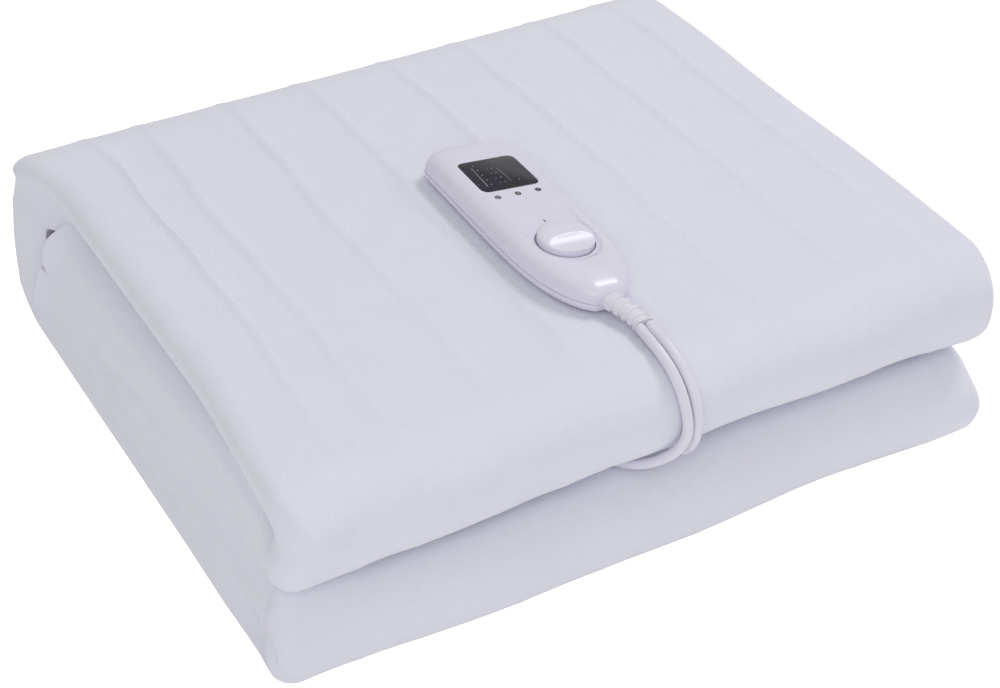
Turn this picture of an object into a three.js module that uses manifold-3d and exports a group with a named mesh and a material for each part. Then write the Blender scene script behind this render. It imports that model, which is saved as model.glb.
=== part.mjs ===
// Electric underblanket folded into a pack, with its hand controller lying on top.
// Millimetres, +Z up. X runs along the pack's front, Y to its back. The origin lies on the
// surface the pack rests on, under the middle of the pack.
import * as THREE from 'three';
import Module from 'manifold-3d';
import { mergeVertices } from 'three/addons/utils/BufferGeometryUtils.js';

const wasm = await Module();
wasm.setup();

// Driving dimensions of the folded cloth
const CLOTH_THICK = 5;       // two fleece layers with the heating wire between them
const PLY_PITCH = 7;         // middle of one ply to the middle of the next in a strip
const STRIP_GAP = 3.1;       // between two folded strips
const SLOT_GAP = 6.2;        // between the two halves of the pack, where the leads lie
const HALF_WIDTH = 200;      // of the pack, along X
const FRONT_Y = -184;
const BACK_Y = 184;
const SPINE_BEND = 31.8;     // bend of the strip's middle where it turns round the back
const SPINE_LEAN = 5;        // how far the back stands out further below than above
const UPPER_END_Y = 98;      // where the two inner strips stop short of the spine
const LOWER_END_Y = 112;
const END_SLANT = 0.95;      // how far each ply of an inner end stands back from the next
const CHANNEL_DEPTH = 1.1;   // of the sewn troughs over the heating wire
const CHANNEL_HALF = 4;
const PILLOW_CROWN = 0.6;    // how far the cloth rises from beside a channel to between two
const CHANNEL_X = [-157.5, -126.3, -76.2, -29.5, 23.7, 69.9, 123.1, 169];

// Driving dimensions of the controller
const CASE_LENGTH = 149.5;
const CASE_HALF_WIDTH = 26.3;
const CASE_THICK = 17;
const BASE_THICK = 6.2;
const CASE_ROLL_DEG = 6.7;   // it lies tipped to its right on the soft cloth
const CASE_X = 2.4;
const CASE_Y = -49.9;
const WINDOW_WIDTH = 32.4;
const WINDOW_LENGTH = 30.2;
const WINDOW_RADIUS = 4;
const WINDOW_V = 36.4;
const KNOB_RADIUS = 14.3;
const KNOB_V = -31;
const KNOB_RISE = 4;
const WELL_GAP = 0.8;
const WELL_DEPTH = 4;

// Driving dimensions of the leads
const LEAD_DIAMETER = 5.2;
const LEAD_SIDES = 8;
const SLOT_TURN = 21;        // bend of the mains lead's half turns inside the pack

// Driving dimensions of the mains plug, a flat two-pin one
const PLUG_WIDTH = 35.3;
const PLUG_THICK = 13.7;
const PLUG_LENGTH = 36;
const PLUG_BOOT = 20;
const PIN_SPACING = 18.6;
const PIN_DIAMETER = 4;
const SLEEVE_LENGTH = 10;
const PIN_LENGTH = 19;

const JOIN_GAP = 0.3;        // between two pieces that meet

// Worked out from them
const HALF_CLOTH = CLOTH_THICK / 2;
const STRIP_THICK = 3 * PLY_PITCH + CLOTH_THICK;
const HALF_STRIP = STRIP_THICK / 2;
const BOTTOM_Z = HALF_STRIP;
const LOWER_Z = BOTTOM_Z + STRIP_THICK + STRIP_GAP;
const UPPER_Z = LOWER_Z + STRIP_THICK + SLOT_GAP;
const TOP_Z = UPPER_Z + STRIP_THICK + STRIP_GAP;
const PACK_HEIGHT = TOP_Z + HALF_STRIP;
const TURN_BEND = (STRIP_THICK + STRIP_GAP) / 2;
const TURN_Y = FRONT_Y + HALF_STRIP + TURN_BEND;
const SLOT_Z = (LOWER_Z + UPPER_Z) / 2;
const LEAD_RADIUS = LEAD_DIAMETER / 2;

const colours = {
  cloth: 0xd9dbe4,
  shell: 0xeeeef2,
  window: 0x22222b,
  rubber: 0xe4e3df,
  lead: 0xe6e6ea,
  pin: 0xb9bcc2,
};

const assembly = new THREE.Group();

function addPiece(parent, name, geometry, colour, roughness, metalness = 0) {
  const material = new THREE.MeshStandardMaterial({ color: colour, roughness, metalness });
  const mesh = new THREE.Mesh(geometry, material);
  mesh.name = name;
  parent.add(mesh);
  return mesh;
}

// Small helpers for numbers

function smooth(from, to, value) {
  const t = THREE.MathUtils.clamp((value - from) / (to - from), 0, 1);
  return t * t * (3 - 2 * t);
}

// Reads one column of a table whose rows are sorted by their first column.
function lookUp(rows, key, column, value) {
  if (value <= rows[0][key]) return rows[0][column];
  for (let i = 1; i < rows.length; i += 1) {
    if (value <= rows[i][key]) {
      const share = (value - rows[i - 1][key]) / (rows[i][key] - rows[i - 1][key]);
      return THREE.MathUtils.lerp(rows[i - 1][column], rows[i][column], share);
    }
  }
  return rows[rows.length - 1][column];
}

// How a flat outline is cut into triangles, each in the outline's own sense of turning.
function outlineFaces(outline) {
  const faces = THREE.ShapeUtils.triangulateShape(outline, []);
  if (THREE.ShapeUtils.isClockWise(outline)) return faces.map((face) => [...face].reverse());
  return faces;
}

// A closed solid through rings that all have the same number of points, with the triangles
// that close its two ends.
function loft(rings, endFaces) {
  const count = rings[0].length;
  const positions = [];
  for (const ring of rings) {
    for (const p of ring) positions.push(p.x, p.y, p.z);
  }
  const index = [];
  for (let r = 0; r < rings.length - 1; r += 1) {
    for (let i = 0; i < count; i += 1) {
      const a = r * count + i;
      const b = r * count + ((i + 1) % count);
      index.push(a, b, b + count, a, b + count, a + count);
    }
  }
  const last = (rings.length - 1) * count;
  for (const [a, b, c] of endFaces) {
    index.push(c, b, a, last + a, last + b, last + c);
  }
  const geometry = new THREE.BufferGeometry();
  geometry.setAttribute('position', new THREE.Float32BufferAttribute(positions, 3));
  geometry.setIndex(index);
  return faceOutwards(geometry);
}

function signedVolume(geometry) {
  const p = geometry.getAttribute('position');
  const index = geometry.getIndex().array;
  const [a, b, c] = [new THREE.Vector3(), new THREE.Vector3(), new THREE.Vector3()];
  let sum = 0;
  for (let i = 0; i < index.length; i += 3) {
    a.fromBufferAttribute(p, index[i]);
    b.fromBufferAttribute(p, index[i + 1]);
    c.fromBufferAttribute(p, index[i + 2]);
    sum += a.dot(b.cross(c)) / 6;
  }
  return sum;
}

function faceOutwards(geometry) {
  if (signedVolume(geometry) < 0) {
    const index = geometry.getIndex().array;
    for (let i = 0; i < index.length; i += 3) {
      [index[i + 1], index[i + 2]] = [index[i + 2], index[i + 1]];
    }
  }
  return geometry;
}

function toManifold(geometry) {
  let bare = geometry.clone();
  bare.deleteAttribute('normal');
  bare.deleteAttribute('uv');
  bare = mergeVertices(bare, 1e-4);
  faceOutwards(bare);
  const vertProperties = new Float32Array(bare.getAttribute('position').array);
  const triVerts = new Uint32Array(bare.getIndex().array);
  return new wasm.Manifold(new wasm.Mesh({ numProp: 3, vertProperties, triVerts }));
}

function fromManifold(solid) {
  const mesh = solid.getMesh();
  const geometry = new THREE.BufferGeometry();
  geometry.setAttribute('position', new THREE.Float32BufferAttribute(mesh.vertProperties, 3));
  geometry.setIndex(new THREE.BufferAttribute(mesh.triVerts, 1));
  return geometry;
}

// The blanket, section across the fold.
// x runs across the pack, n from the strip's middle towards the side that faces outwards.
// Four plies lie in a strip: p3 outermost, p2, p1, and p4 innermost. p3 and p4 wrap round the
// left, p2 and p1 are tucked into that wrap, p3 turns into p2 on the right, and p1 and p4 end
// there in free hems.

const PLY_3 = 1.5 * PLY_PITCH;
const PLY_2 = 0.5 * PLY_PITCH;
const PLY_1 = -0.5 * PLY_PITCH;
const PLY_4 = -1.5 * PLY_PITCH;
const WRAP_X = -HALF_WIDTH + HALF_CLOTH + PLY_3;
const RIGHT_TURN_X = HALF_WIDTH - HALF_CLOTH - PLY_2;
const HEM_1_X = HALF_WIDTH - 7;
const HEM_4_X = HALF_WIDTH - 4;
const PLAIN_X = [150, 0, -145, -172];

// One bend of the cloth, round the point x, n.
function bend(points, x, n, radius, fromDeg, toDeg, steps, tag) {
  for (let i = 0; i <= steps; i += 1) {
    const a = THREE.MathUtils.degToRad(THREE.MathUtils.lerp(fromDeg, toDeg, i / steps));
    points.push({ x: x + radius * Math.cos(a), n: n + radius * Math.sin(a), tag });
  }
}

function run(points, xs, n, tag) {
  for (const x of xs) points.push({ x, n, tag });
}

// The outermost face has a trough at each channel and a low crown between two of them.
function outerFace(points) {
  const n = PLY_3 + HALF_CLOTH;
  CHANNEL_X.forEach((x, k) => {
    points.push({ x: x - CHANNEL_HALF, n, tag: 'beside' });
    points.push({ x, n, tag: 'trough' });
    points.push({ x: x + CHANNEL_HALF, n, tag: 'beside' });
    if (k < CHANNEL_X.length - 1) {
      points.push({ x: (x + CHANNEL_X[k + 1]) / 2, n, tag: 'plain' });
    }
  });
}

function sectionSides() {
  const leftward = PLAIN_X;
  const rightward = [...PLAIN_X].reverse();
  const h = HALF_CLOTH;
  const rightTurnN = (PLY_3 + PLY_2) / 2;
  // outer side of the cloth, from the free hem of p4 to the free hem of p1
  const outer = [];
  run(outer, [HEM_4_X, ...leftward], PLY_4 - h, 'plain');
  bend(outer, WRAP_X, 0, PLY_3 + h, 270, 90, 9, 'plain');
  outerFace(outer);
  bend(outer, RIGHT_TURN_X, rightTurnN, PLY_2 + h, 90, -90, 6, 'plain');
  run(outer, leftward.slice(0, 3), PLY_2 - h, 'plain');
  bend(outer, WRAP_X, 0, PLY_2 - h, 90, 270, 3, 'plain');
  run(outer, [...rightward.slice(1), HEM_1_X], PLY_1 + h, 'plain');
  // inner side of the cloth, back to the hem of p4
  const inner = [];
  run(inner, [HEM_1_X, ...leftward.slice(0, 3)], PLY_1 - h, 'plain');
  bend(inner, WRAP_X, 0, PLY_2 + h, 270, 90, 5, 'plain');
  run(inner, rightward.slice(1), PLY_2 + h, 'plain');
  bend(inner, RIGHT_TURN_X, rightTurnN, PLY_2 - h, -90, 90, 3, 'plain');
  run(inner, leftward.slice(0, 3), PLY_3 - h, 'plain');
  bend(inner, WRAP_X, 0, PLY_3 - h, 90, 270, 7, 'plain');
  run(inner, [...rightward.slice(1), HEM_4_X], PLY_4 + h, 'plain');
  return { outer, inner };
}

// The end of the cloth is closed by a ladder of triangles between its two sides, so that it
// bends with them.
function ladderFaces(outer, inner) {
  const apart = (a, b) => Math.hypot(a.x - b.x, a.n - b.n);
  const total = outer.length + inner.length;
  const opposite = [...inner].reverse();
  const faces = [];
  let i = 0;
  let j = 0;
  while (i < outer.length - 1 || j < opposite.length - 1) {
    const stepOuter = i < outer.length - 1 ? apart(outer[i + 1], opposite[j]) : Infinity;
    const stepInner = j < opposite.length - 1 ? apart(outer[i], opposite[j + 1]) : Infinity;
    if (stepOuter <= stepInner) {
      faces.push([i, i + 1, total - 1 - j]);
      i += 1;
    } else {
      faces.push([i, total - 2 - j, total - 1 - j]);
      j += 1;
    }
  }
  return faces;
}

// The blanket, path of the fold seen from its side: the upper inner strip runs to the front,
// turns over into the top, goes down the back, comes forward as the bottom and turns in again.
// Each station has the strip's middle (y, z), the direction that faces outwards (ny, nz), how
// deep its troughs are, and how far the ply ends are slanted there.

function station(y, z, ny, nz, trough, slant = 0) {
  return { y, z, ny, nz, trough, slant };
}

function turn(list, y, z, radius, fromDeg, toDeg, steps, trough) {
  for (let i = 0; i <= steps; i += 1) {
    const a = THREE.MathUtils.degToRad(THREE.MathUtils.lerp(fromDeg, toDeg, i / steps));
    list.push(station(y + radius * Math.cos(a), z + radius * Math.sin(a), Math.cos(a), Math.sin(a), trough));
  }
}

const innerYs = [60, 0, -70, -125];
const topYs = [-140, -122, -72, -18, 24, 60, 104];
const bottomYs = [110, 60, 0, -60, -110, -140];

function foldPath() {
  const list = [];
  list.push(station(UPPER_END_Y, UPPER_Z, 0, -1, 0, END_SLANT));
  for (const y of innerYs) list.push(station(y, UPPER_Z, 0, -1, 0));
  turn(list, TURN_Y, (UPPER_Z + TOP_Z) / 2, TURN_BEND, 270, 90, 8, 0.5);
  for (const y of topYs) list.push(station(y, TOP_Z, 0, 1, 1));
  const lowY = BACK_Y - HALF_STRIP - SPINE_BEND;
  const highY = lowY - SPINE_LEAN;
  const drop = TOP_Z - BOTTOM_Z - 2 * SPINE_BEND;
  const leanDeg = THREE.MathUtils.radToDeg(Math.atan2(SPINE_LEAN, drop));
  turn(list, highY, TOP_Z - SPINE_BEND, SPINE_BEND, 90, leanDeg, 5, 0.9);
  turn(list, lowY, BOTTOM_Z + SPINE_BEND, SPINE_BEND, leanDeg, -90, 6, 0.7);
  for (const y of bottomYs) list.push(station(y, BOTTOM_Z, 0, -1, 0));
  turn(list, TURN_Y, (BOTTOM_Z + LOWER_Z) / 2, TURN_BEND, 270, 90, 8, 0.4);
  for (const y of [...innerYs].reverse()) list.push(station(y, LOWER_Z, 0, 1, 0));
  list.push(station(LOWER_END_Y, LOWER_Z, 0, 1, 0, -END_SLANT));
  return list;
}

// How the pack has settled, as one smooth movement of every point of the cloth.

// Heights of the two creases on the left side: bottom strip to lower inner strip, and lower to
// upper inner strip.
const leftCreases = [
  { y: -184, low: 25, mid: 58 },
  { y: -163, low: 30, mid: 61 },
  { y: -150, low: 40, mid: 67 },
  { y: -95, low: 44, mid: 71 },
  { y: -61, low: 46, mid: 71 },
  { y: -20, low: 42, mid: 70 },
  { y: 14, low: 40, mid: 65 },
  { y: 41, low: 37, mid: 60 },
  { y: 90, low: 34, mid: 62 },
  { y: 130, low: 32, mid: 62 },
  { y: 184, low: 29, mid: 59 },
];

// How far each level of the left side stands back, at three places along it.
const leftSetBack = [
  { z: 0, front: 0, middle: 0, back: 0 },
  { z: 26, front: 0, middle: 0, back: -0.5 },
  { z: 44, front: 1, middle: 3, back: -0.5 },
  { z: 66, front: 3, middle: 6, back: 0.5 },
  { z: 84, front: 3, middle: 10, back: 3 },
  { z: 91, front: 3, middle: 13, back: 6 },
  { z: 104, front: 2, middle: 8, back: -1 },
  { z: 117, front: 3, middle: 10, back: 0 },
];

function settleHeight(x, y, z) {
  const share = smooth(-145, -190, x);
  const low = lookUp(leftCreases, 'y', 'low', y);
  const mid = lookUp(leftCreases, 'y', 'mid', y);
  const levels = [
    { rest: 0, settled: 0 },
    { rest: BOTTOM_Z + HALF_STRIP, settled: low - 0.6 * STRIP_GAP },
    { rest: LOWER_Z - HALF_STRIP, settled: low },
    { rest: LOWER_Z + HALF_STRIP, settled: mid - 0.4 },
    { rest: UPPER_Z - HALF_STRIP, settled: mid + 0.4 },
    { rest: UPPER_Z + HALF_STRIP, settled: UPPER_Z + HALF_STRIP },
    { rest: PACK_HEIGHT, settled: PACK_HEIGHT },
  ];
  const settled = lookUp(levels, 'rest', 'settled', z);
  return z + share * (settled - z);
}

// On each front turn the cloth of the upper arm hangs down over the corner like a hook, and the
// lower arm stands back behind a crease that curves from the arm's crease to the slot.
function hookCrease(y, z, topZ, bottomZ) {
  const along = (-130 - y) / 36;
  const down = (topZ - z) / (topZ - bottomZ);
  if (down < 0 || down > 1.3) return 0;
  const reach = Math.hypot(Math.max(along, 0), 1 - Math.min(down, 1));
  const behind = 1 - smooth(0.8, 1.05, reach);
  return 6 * behind * smooth(-40, -150, y);
}

function settleSide(x, y, z) {
  const share = smooth(-120, -192, x);
  const front = lookUp(leftSetBack, 'z', 'front', z);
  const middle = lookUp(leftSetBack, 'z', 'middle', z);
  const back = lookUp(leftSetBack, 'z', 'back', z);
  const toFront = smooth(-60, -178, y);
  const toBack = smooth(100, 170, y);
  const setBack = middle + (front - middle) * toFront + (back - middle) * toBack;
  const hooks = hookCrease(y, z, 91, 60) + hookCrease(y, z, 40, 14) * smooth(4, 16, z);
  return x + share * (setBack + hooks);
}

// The right side stands out a little further at the back, and draws in at the slot.
function settleRightSide(x, y, z) {
  const share = smooth(150, 196, x);
  const flare = 4.4 * smooth(-20, 130, y);
  const notch = 6 * smooth(24, 48, z) * smooth(74, 58, z);
  const lower = 1.4 * smooth(62, 40, z);
  return x - share * (3.2 - flare + notch + lower + 1.1 * Math.sin(y / 47 + z / 19));
}

// The two front beads bulge and draw in by a few millimetres.
function settleFront(x, y, z) {
  const share = smooth(-140, -178, y);
  const upper = smooth(55, 66, z);
  const wave = 1.6 * Math.sin(x / 37 + 0.6) + 1.1 * Math.sin(x / 17 + 2);
  const lowerWave = 1.5 * Math.sin(x / 43 + 2.4) + 0.9 * Math.sin(x / 21);
  return y - share * THREE.MathUtils.lerp(lowerWave - 0.4, wave - 2.4, upper);
}

// How far the underside of the upper front bead sags, from its left end to its right. It is held
// up where the leads go in.
const beadSag = [
  { x: -200, sag: 2 },
  { x: -186, sag: 3 },
  { x: -160, sag: 5 },
  { x: -139, sag: 4.5 },
  { x: -84, sag: 5.6 },
  { x: -48, sag: 4.1 },
  { x: -26, sag: 0 },
  { x: 70, sag: 0 },
  { x: 127, sag: 2.9 },
  { x: 169, sag: 4.8 },
  { x: 200, sag: 4.8 },
];

function sagUnderBead(x, y, z) {
  if (z < SLOT_Z) return z;
  const share = smooth(-158, -172, y) * smooth(96, 74, z);
  return z - share * lookUp(beadSag, 'x', 'sag', x);
}

// The top follows the controller's weight, drops towards its back right corner and is a little
// uneven elsewhere.
const TOP_SETTLED = 0.5;

function settleTop(x, y, z) {
  const share = smooth(96, PACK_HEIGHT - 1, z);
  const across = x - CASE_X;
  const tilt = Math.tan(THREE.MathUtils.degToRad(CASE_ROLL_DEG));
  const underCase = smooth(46, 24, Math.abs(across)) * smooth(-155, -128, y) * smooth(50, 26, y);
  const lean = -tilt * THREE.MathUtils.clamp(across, -19, 19) * underCase;
  const uneven = 0.5 * Math.sin(x / 61 + 1) * Math.sin(y / 53 + 0.4) * (1 - underCase);
  const droop = 3.4 * smooth(-200, 200, x) * smooth(70, 150, y);
  return z + share * (lean + uneven - droop - TOP_SETTLED);
}

function settle(p) {
  const sagged = sagUnderBead(p.x, p.y, p.z);
  const z = settleTop(p.x, p.y, settleHeight(p.x, p.y, sagged));
  const x = settleRightSide(settleSide(p.x, p.y, z), p.y, z);
  return new THREE.Vector3(x, settleFront(p.x, p.y, p.z), z);
}

function blanketSolid() {
  const { outer, inner } = sectionSides();
  const section = [...outer, ...inner];
  const rings = foldPath().map((s) => section.map((point) => {
    let n = point.n;
    if (point.tag === 'trough') n -= (PILLOW_CROWN + CHANNEL_DEPTH) * s.trough;
    if (point.tag === 'beside') n -= PILLOW_CROWN * s.trough;
    const y = s.y + n * s.ny + s.slant * point.n;
    return settle(new THREE.Vector3(point.x, y, s.z + n * s.nz));
  }));
  return loft(rings, ladderFaces(outer, inner));
}

// The controller. Its own frame: u across it to the right, v along it away from the leads,
// w out of its display.

const TAPER_V = -10;         // where the sides begin to taper
const TAPER_LENGTH = 66.75;  // from there to where they would meet
const FAR_NARROWING = 0.9;

function caseHalfWidth(v) {
  if (v < TAPER_V) {
    const t = (TAPER_V - v) / TAPER_LENGTH;
    return CASE_HALF_WIDTH * Math.sqrt(Math.max(0, 1 - t ** 2.6));
  }
  return CASE_HALF_WIDTH - FAR_NARROWING * smooth(0, CASE_LENGTH / 2, v);
}

// Outline of the case seen from above: a flat narrow end for the strain relief, a boat-shaped
// taper, straight sides and a far end with rounded corners.
const CASE_CORNER = 11;      // radius of the far end's corners
const TIP_HALF_WIDTH = 7.2;

function caseOutline() {
  const half = CASE_LENGTH / 2;
  const corner = CASE_CORNER;
  const right = [];
  for (const fromTip of [0, 2, 6, 12, 19, 28, 38, 50, 65, 85, 110, CASE_LENGTH - corner]) {
    const v = fromTip - half;
    right.push(new THREE.Vector2(Math.max(caseHalfWidth(v), TIP_HALF_WIDTH), v));
  }
  const cornerU = caseHalfWidth(half - corner) - corner;
  for (let i = 1; i <= 4; i += 1) {
    const a = (i / 4) * (Math.PI / 2);
    right.push(new THREE.Vector2(cornerU + corner * Math.cos(a), half - corner + corner * Math.sin(a)));
  }
  right.push(new THREE.Vector2(cornerU / 2, half + 0.5));
  const left = right.map((p) => new THREE.Vector2(-p.x, p.y)).reverse();
  return [...right, new THREE.Vector2(0, half + 0.7), ...left];
}

// One level of the case: the outline drawn in by inset, more so at the tapered end.
function caseRing(outline, inset, w, tipFactor) {
  const half = CASE_LENGTH / 2;
  return outline.map((p) => {
    const factor = p.y < 0 ? tipFactor : 1;
    const u = p.x * (1 - inset / CASE_HALF_WIDTH);
    const v = p.y * (1 - (factor * inset) / half);
    return new THREE.Vector3(u, v, w);
  });
}

const topLevels = [
  { inset: 0.5, w: BASE_THICK + JOIN_GAP, tip: 0 },
  { inset: 0.5, w: BASE_THICK + 3.1, tip: 0.3 },
  { inset: 1.5, w: BASE_THICK + 6.0, tip: 1.0 },
  { inset: 3.3, w: BASE_THICK + 8.4, tip: 1.5 },
  { inset: 6.2, w: BASE_THICK + 10.1, tip: 1.9 },
  { inset: 9.2, w: CASE_THICK - 0.2, tip: 2.0 },
  { inset: 13, w: CASE_THICK, tip: 2.0 },
];

const baseLevels = [
  { inset: 7.0, w: 0, tip: 1.3 },
  { inset: 4.0, w: 0.8, tip: 1.1 },
  { inset: 1.6, w: 2.4, tip: 0.6 },
  { inset: 0.3, w: 4.2, tip: 0.2 },
  { inset: 0, w: BASE_THICK, tip: 0 },
];

function caseShell(levels) {
  const outline = caseOutline();
  const rings = levels.map((level) => caseRing(outline, level.inset, level.w, level.tip));
  return loft(rings, outlineFaces(outline));
}

function roundedRectangle(width, length, radius) {
  const shape = new THREE.Shape();
  const [u, v] = [width / 2, length / 2];
  shape.absarc(u - radius, v - radius, radius, 0, Math.PI / 2);
  shape.absarc(-u + radius, v - radius, radius, Math.PI / 2, Math.PI);
  shape.absarc(-u + radius, -v + radius, radius, Math.PI, 1.5 * Math.PI);
  shape.absarc(u - radius, -v + radius, radius, 1.5 * Math.PI, 2 * Math.PI);
  return shape;
}

function plate(width, length, radius, v, fromW, toW) {
  const shape = roundedRectangle(width, length, radius);
  const options = { depth: toW - fromW, bevelEnabled: false, curveSegments: 5 };
  return new THREE.ExtrudeGeometry(shape, options).translate(0, v, fromW);
}

function disc(radius, v, fromW, toW, sides) {
  const geometry = new THREE.CylinderGeometry(radius, radius, toW - fromW, sides);
  return geometry.rotateX(Math.PI / 2).translate(0, v, (fromW + toW) / 2);
}

// Round tube through points, with one radius or a radius for each of them.
function tube(points, radii, sides, flatness = 1) {
  const outline = [];
  for (let i = 0; i < sides; i += 1) {
    const a = (2 * Math.PI * (i + 0.5)) / sides;
    outline.push(new THREE.Vector2(Math.cos(a), flatness * Math.sin(a)));
  }
  let side = null;
  const rings = points.map((p, k) => {
    const before = points[Math.max(k - 1, 0)];
    const after = points[Math.min(k + 1, points.length - 1)];
    const along = after.clone().sub(before).normalize();
    if (side === null) side = along.clone().cross(new THREE.Vector3(0, 0, 1));
    side = side.clone().addScaledVector(along, -side.dot(along)).normalize();
    const over = side.clone().cross(along).normalize();
    const radius = Array.isArray(radii) ? radii[k] : radii;
    return outline.map((o) => p.clone()
      .addScaledVector(side, o.x * radius)
      .addScaledVector(over, o.y * radius));
  });
  return loft(rings, outlineFaces(outline));
}

// The finger groove runs round the near half of the knob and fades out along both sides.
const GROOVE_REACH = KNOB_RADIUS + 3.6;
const GROOVE_ARM = 24;       // length of each fading side
const GROOVE_DRAW_IN = 1.5;  // of the sides at their far ends
const GROOVE_FADE = 5.2;     // how far the cutter has risen there
const GROOVE_CUTTER = 4.9;   // radius of the round cutter
const GROOVE_ABOVE = 2.2;    // of the cutter's middle over the deck

function fingerGroove() {
  const steps = 5;
  const arm = (side, i) => {
    const faded = 1 - i / steps;
    const u = side * (GROOVE_REACH - GROOVE_DRAW_IN * faded);
    const w = CASE_THICK + GROOVE_ABOVE + GROOVE_FADE * faded ** 1.2;
    return new THREE.Vector3(u, KNOB_V + GROOVE_ARM * faded, w);
  };
  const centres = [];
  for (let i = 0; i <= steps; i += 1) centres.push(arm(1, i));
  for (let i = 1; i < 8; i += 1) {
    const a = (-Math.PI * i) / 8;
    centres.push(new THREE.Vector3(
      GROOVE_REACH * Math.cos(a), KNOB_V + GROOVE_REACH * Math.sin(a), CASE_THICK + GROOVE_ABOVE,
    ));
  }
  for (let i = steps; i >= 0; i -= 1) centres.push(arm(-1, i));
  return tube(centres, GROOVE_CUTTER, 10);
}

// Where the strain relief's root is held, in the controller's frame.
const RELIEF_WIDTH = 12.6;
const RELIEF_FLAT = 0.64;    // its thickness over its width
const RELIEF_ROOT_W = 7.0;
const RELIEF_RIBS = 4;
const RELIEF_CORE = 0.86;    // of the grooves between the ribs

function reliefPath() {
  return [
    { u: 0.6, v: -70.6, w: RELIEF_ROOT_W },
    { u: 1.4, v: -75.0, w: RELIEF_ROOT_W },
    { u: 3.0, v: -80.0, w: RELIEF_ROOT_W - 0.3 },
    { u: 4.7, v: -85.0, w: RELIEF_ROOT_W - 0.9 },
    { u: 5.9, v: -90.0, w: RELIEF_ROOT_W - 1.7 },
    { u: 6.3, v: -94.6, w: RELIEF_ROOT_W - 2.4 },
  ].map((p) => new THREE.Vector3(p.u, p.v, p.w));
}

function reliefSolid() {
  const curve = new THREE.CatmullRomCurve3(reliefPath(), false, 'centripetal');
  const stepsPerRib = 4;
  const root = 4;
  const steps = root + RELIEF_RIBS * stepsPerRib + 1;
  const points = [];
  const radii = [];
  for (let i = 0; i <= steps; i += 1) {
    points.push(curve.getPointAt(i / steps));
    const rib = i > root && i < steps && (i - root) % stepsPerRib < 2;
    radii.push((RELIEF_WIDTH / 2) * (rib || i <= root ? 1 : RELIEF_CORE));
  }
  return tube(points, radii, 14, RELIEF_FLAT);
}

function reliefSocket() {
  return tube([
    new THREE.Vector3(0.4, -70.1, RELIEF_ROOT_W),
    new THREE.Vector3(1.4, -76, RELIEF_ROOT_W),
    new THREE.Vector3(4, -90, RELIEF_ROOT_W),
  ], RELIEF_WIDTH / 2 + 0.45, 14, RELIEF_FLAT + 0.03);
}

const SEAT_DEPTH = 1.4;      // of the window's seat
const WINDOW_SUNK = 0.05;    // the window's face under the deck
const CUTTER_OVER = 5;       // how far a cutter stands over the deck

function caseTop() {
  let solid = toManifold(caseShell(topLevels));
  const windowSeat = plate(
    WINDOW_WIDTH + 2 * JOIN_GAP, WINDOW_LENGTH + 2 * JOIN_GAP, WINDOW_RADIUS, WINDOW_V,
    CASE_THICK - SEAT_DEPTH, CASE_THICK + CUTTER_OVER,
  );
  const well = disc(
    KNOB_RADIUS + WELL_GAP, KNOB_V, CASE_THICK - WELL_DEPTH, CASE_THICK + CUTTER_OVER, 40,
  );
  for (const tool of [windowSeat, well, fingerGroove(), reliefSocket()]) {
    solid = solid.subtract(toManifold(tool));
  }
  return fromManifold(solid);
}

function caseBase() {
  const solid = toManifold(caseShell(baseLevels));
  return fromManifold(solid.subtract(toManifold(reliefSocket())));
}

// The knob: a dome whose near half is a thumb scoop. Its origin is on its turning axis, level
// with the deck.
const KNOB_SIDE = 1.2;       // height of its straight side over the deck
const KNOB_BEVEL = 0.6;      // at its foot
const SCOOP_RADIUS = 16;
const SCOOP_V = -10.4;       // middle line of the scoop's round cutter
const SCOOP_ABOVE = 13.2;    // of that line over the knob's top

function knobSolid() {
  const foot = -WELL_DEPTH + JOIN_GAP;
  const profile = [
    new THREE.Vector2(0, foot),
    new THREE.Vector2(KNOB_RADIUS - KNOB_BEVEL, foot),
    new THREE.Vector2(KNOB_RADIUS, foot + KNOB_BEVEL),
    new THREE.Vector2(KNOB_RADIUS, KNOB_SIDE),
  ];
  const domeSteps = 6;
  for (let i = 1; i <= domeSteps; i += 1) {
    const a = (i / domeSteps) * (Math.PI / 2);
    const out = i === domeSteps ? 0 : KNOB_RADIUS * Math.cos(a) ** 0.8;
    profile.push(new THREE.Vector2(out, KNOB_SIDE + (KNOB_RISE - KNOB_SIDE) * Math.sin(a)));
  }
  const body = new THREE.LatheGeometry(profile, 40).rotateX(Math.PI / 2);
  const scoop = new THREE.CylinderGeometry(SCOOP_RADIUS, SCOOP_RADIUS, 3 * KNOB_RADIUS, 48)
    .rotateZ(Math.PI / 2)
    .translate(0, SCOOP_V, SCOOP_ABOVE + KNOB_RISE);
  return fromManifold(toManifold(body).subtract(toManifold(scoop)));
}

const controller = new THREE.Group();
controller.position.set(CASE_X, CASE_Y, PACK_HEIGHT - TOP_SETTLED + JOIN_GAP);
controller.rotation.y = THREE.MathUtils.degToRad(CASE_ROLL_DEG);
assembly.add(controller);

addPiece(controller, 'controller_top', caseTop(), colours.shell, 0.25);
addPiece(controller, 'controller_base', caseBase(), colours.shell, 0.3);
addPiece(
  controller, 'display_window',
  plate(
    WINDOW_WIDTH, WINDOW_LENGTH, WINDOW_RADIUS - JOIN_GAP, WINDOW_V,
    CASE_THICK - SEAT_DEPTH + JOIN_GAP, CASE_THICK - WINDOW_SUNK,
  ),
  colours.window, 0.1,
);
const knob = addPiece(controller, 'knob', knobSolid(), colours.shell, 0.25);
knob.position.set(0, KNOB_V, CASE_THICK);
addPiece(controller, 'strain_relief', reliefSolid(), colours.rubber, 0.6);

addPiece(assembly, 'blanket', blanketSolid(), colours.cloth, 0.95);

// The two leads. Both leave the strain relief side by side, hang over the upper front bead and
// go into the gap between the two halves of the pack.

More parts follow.
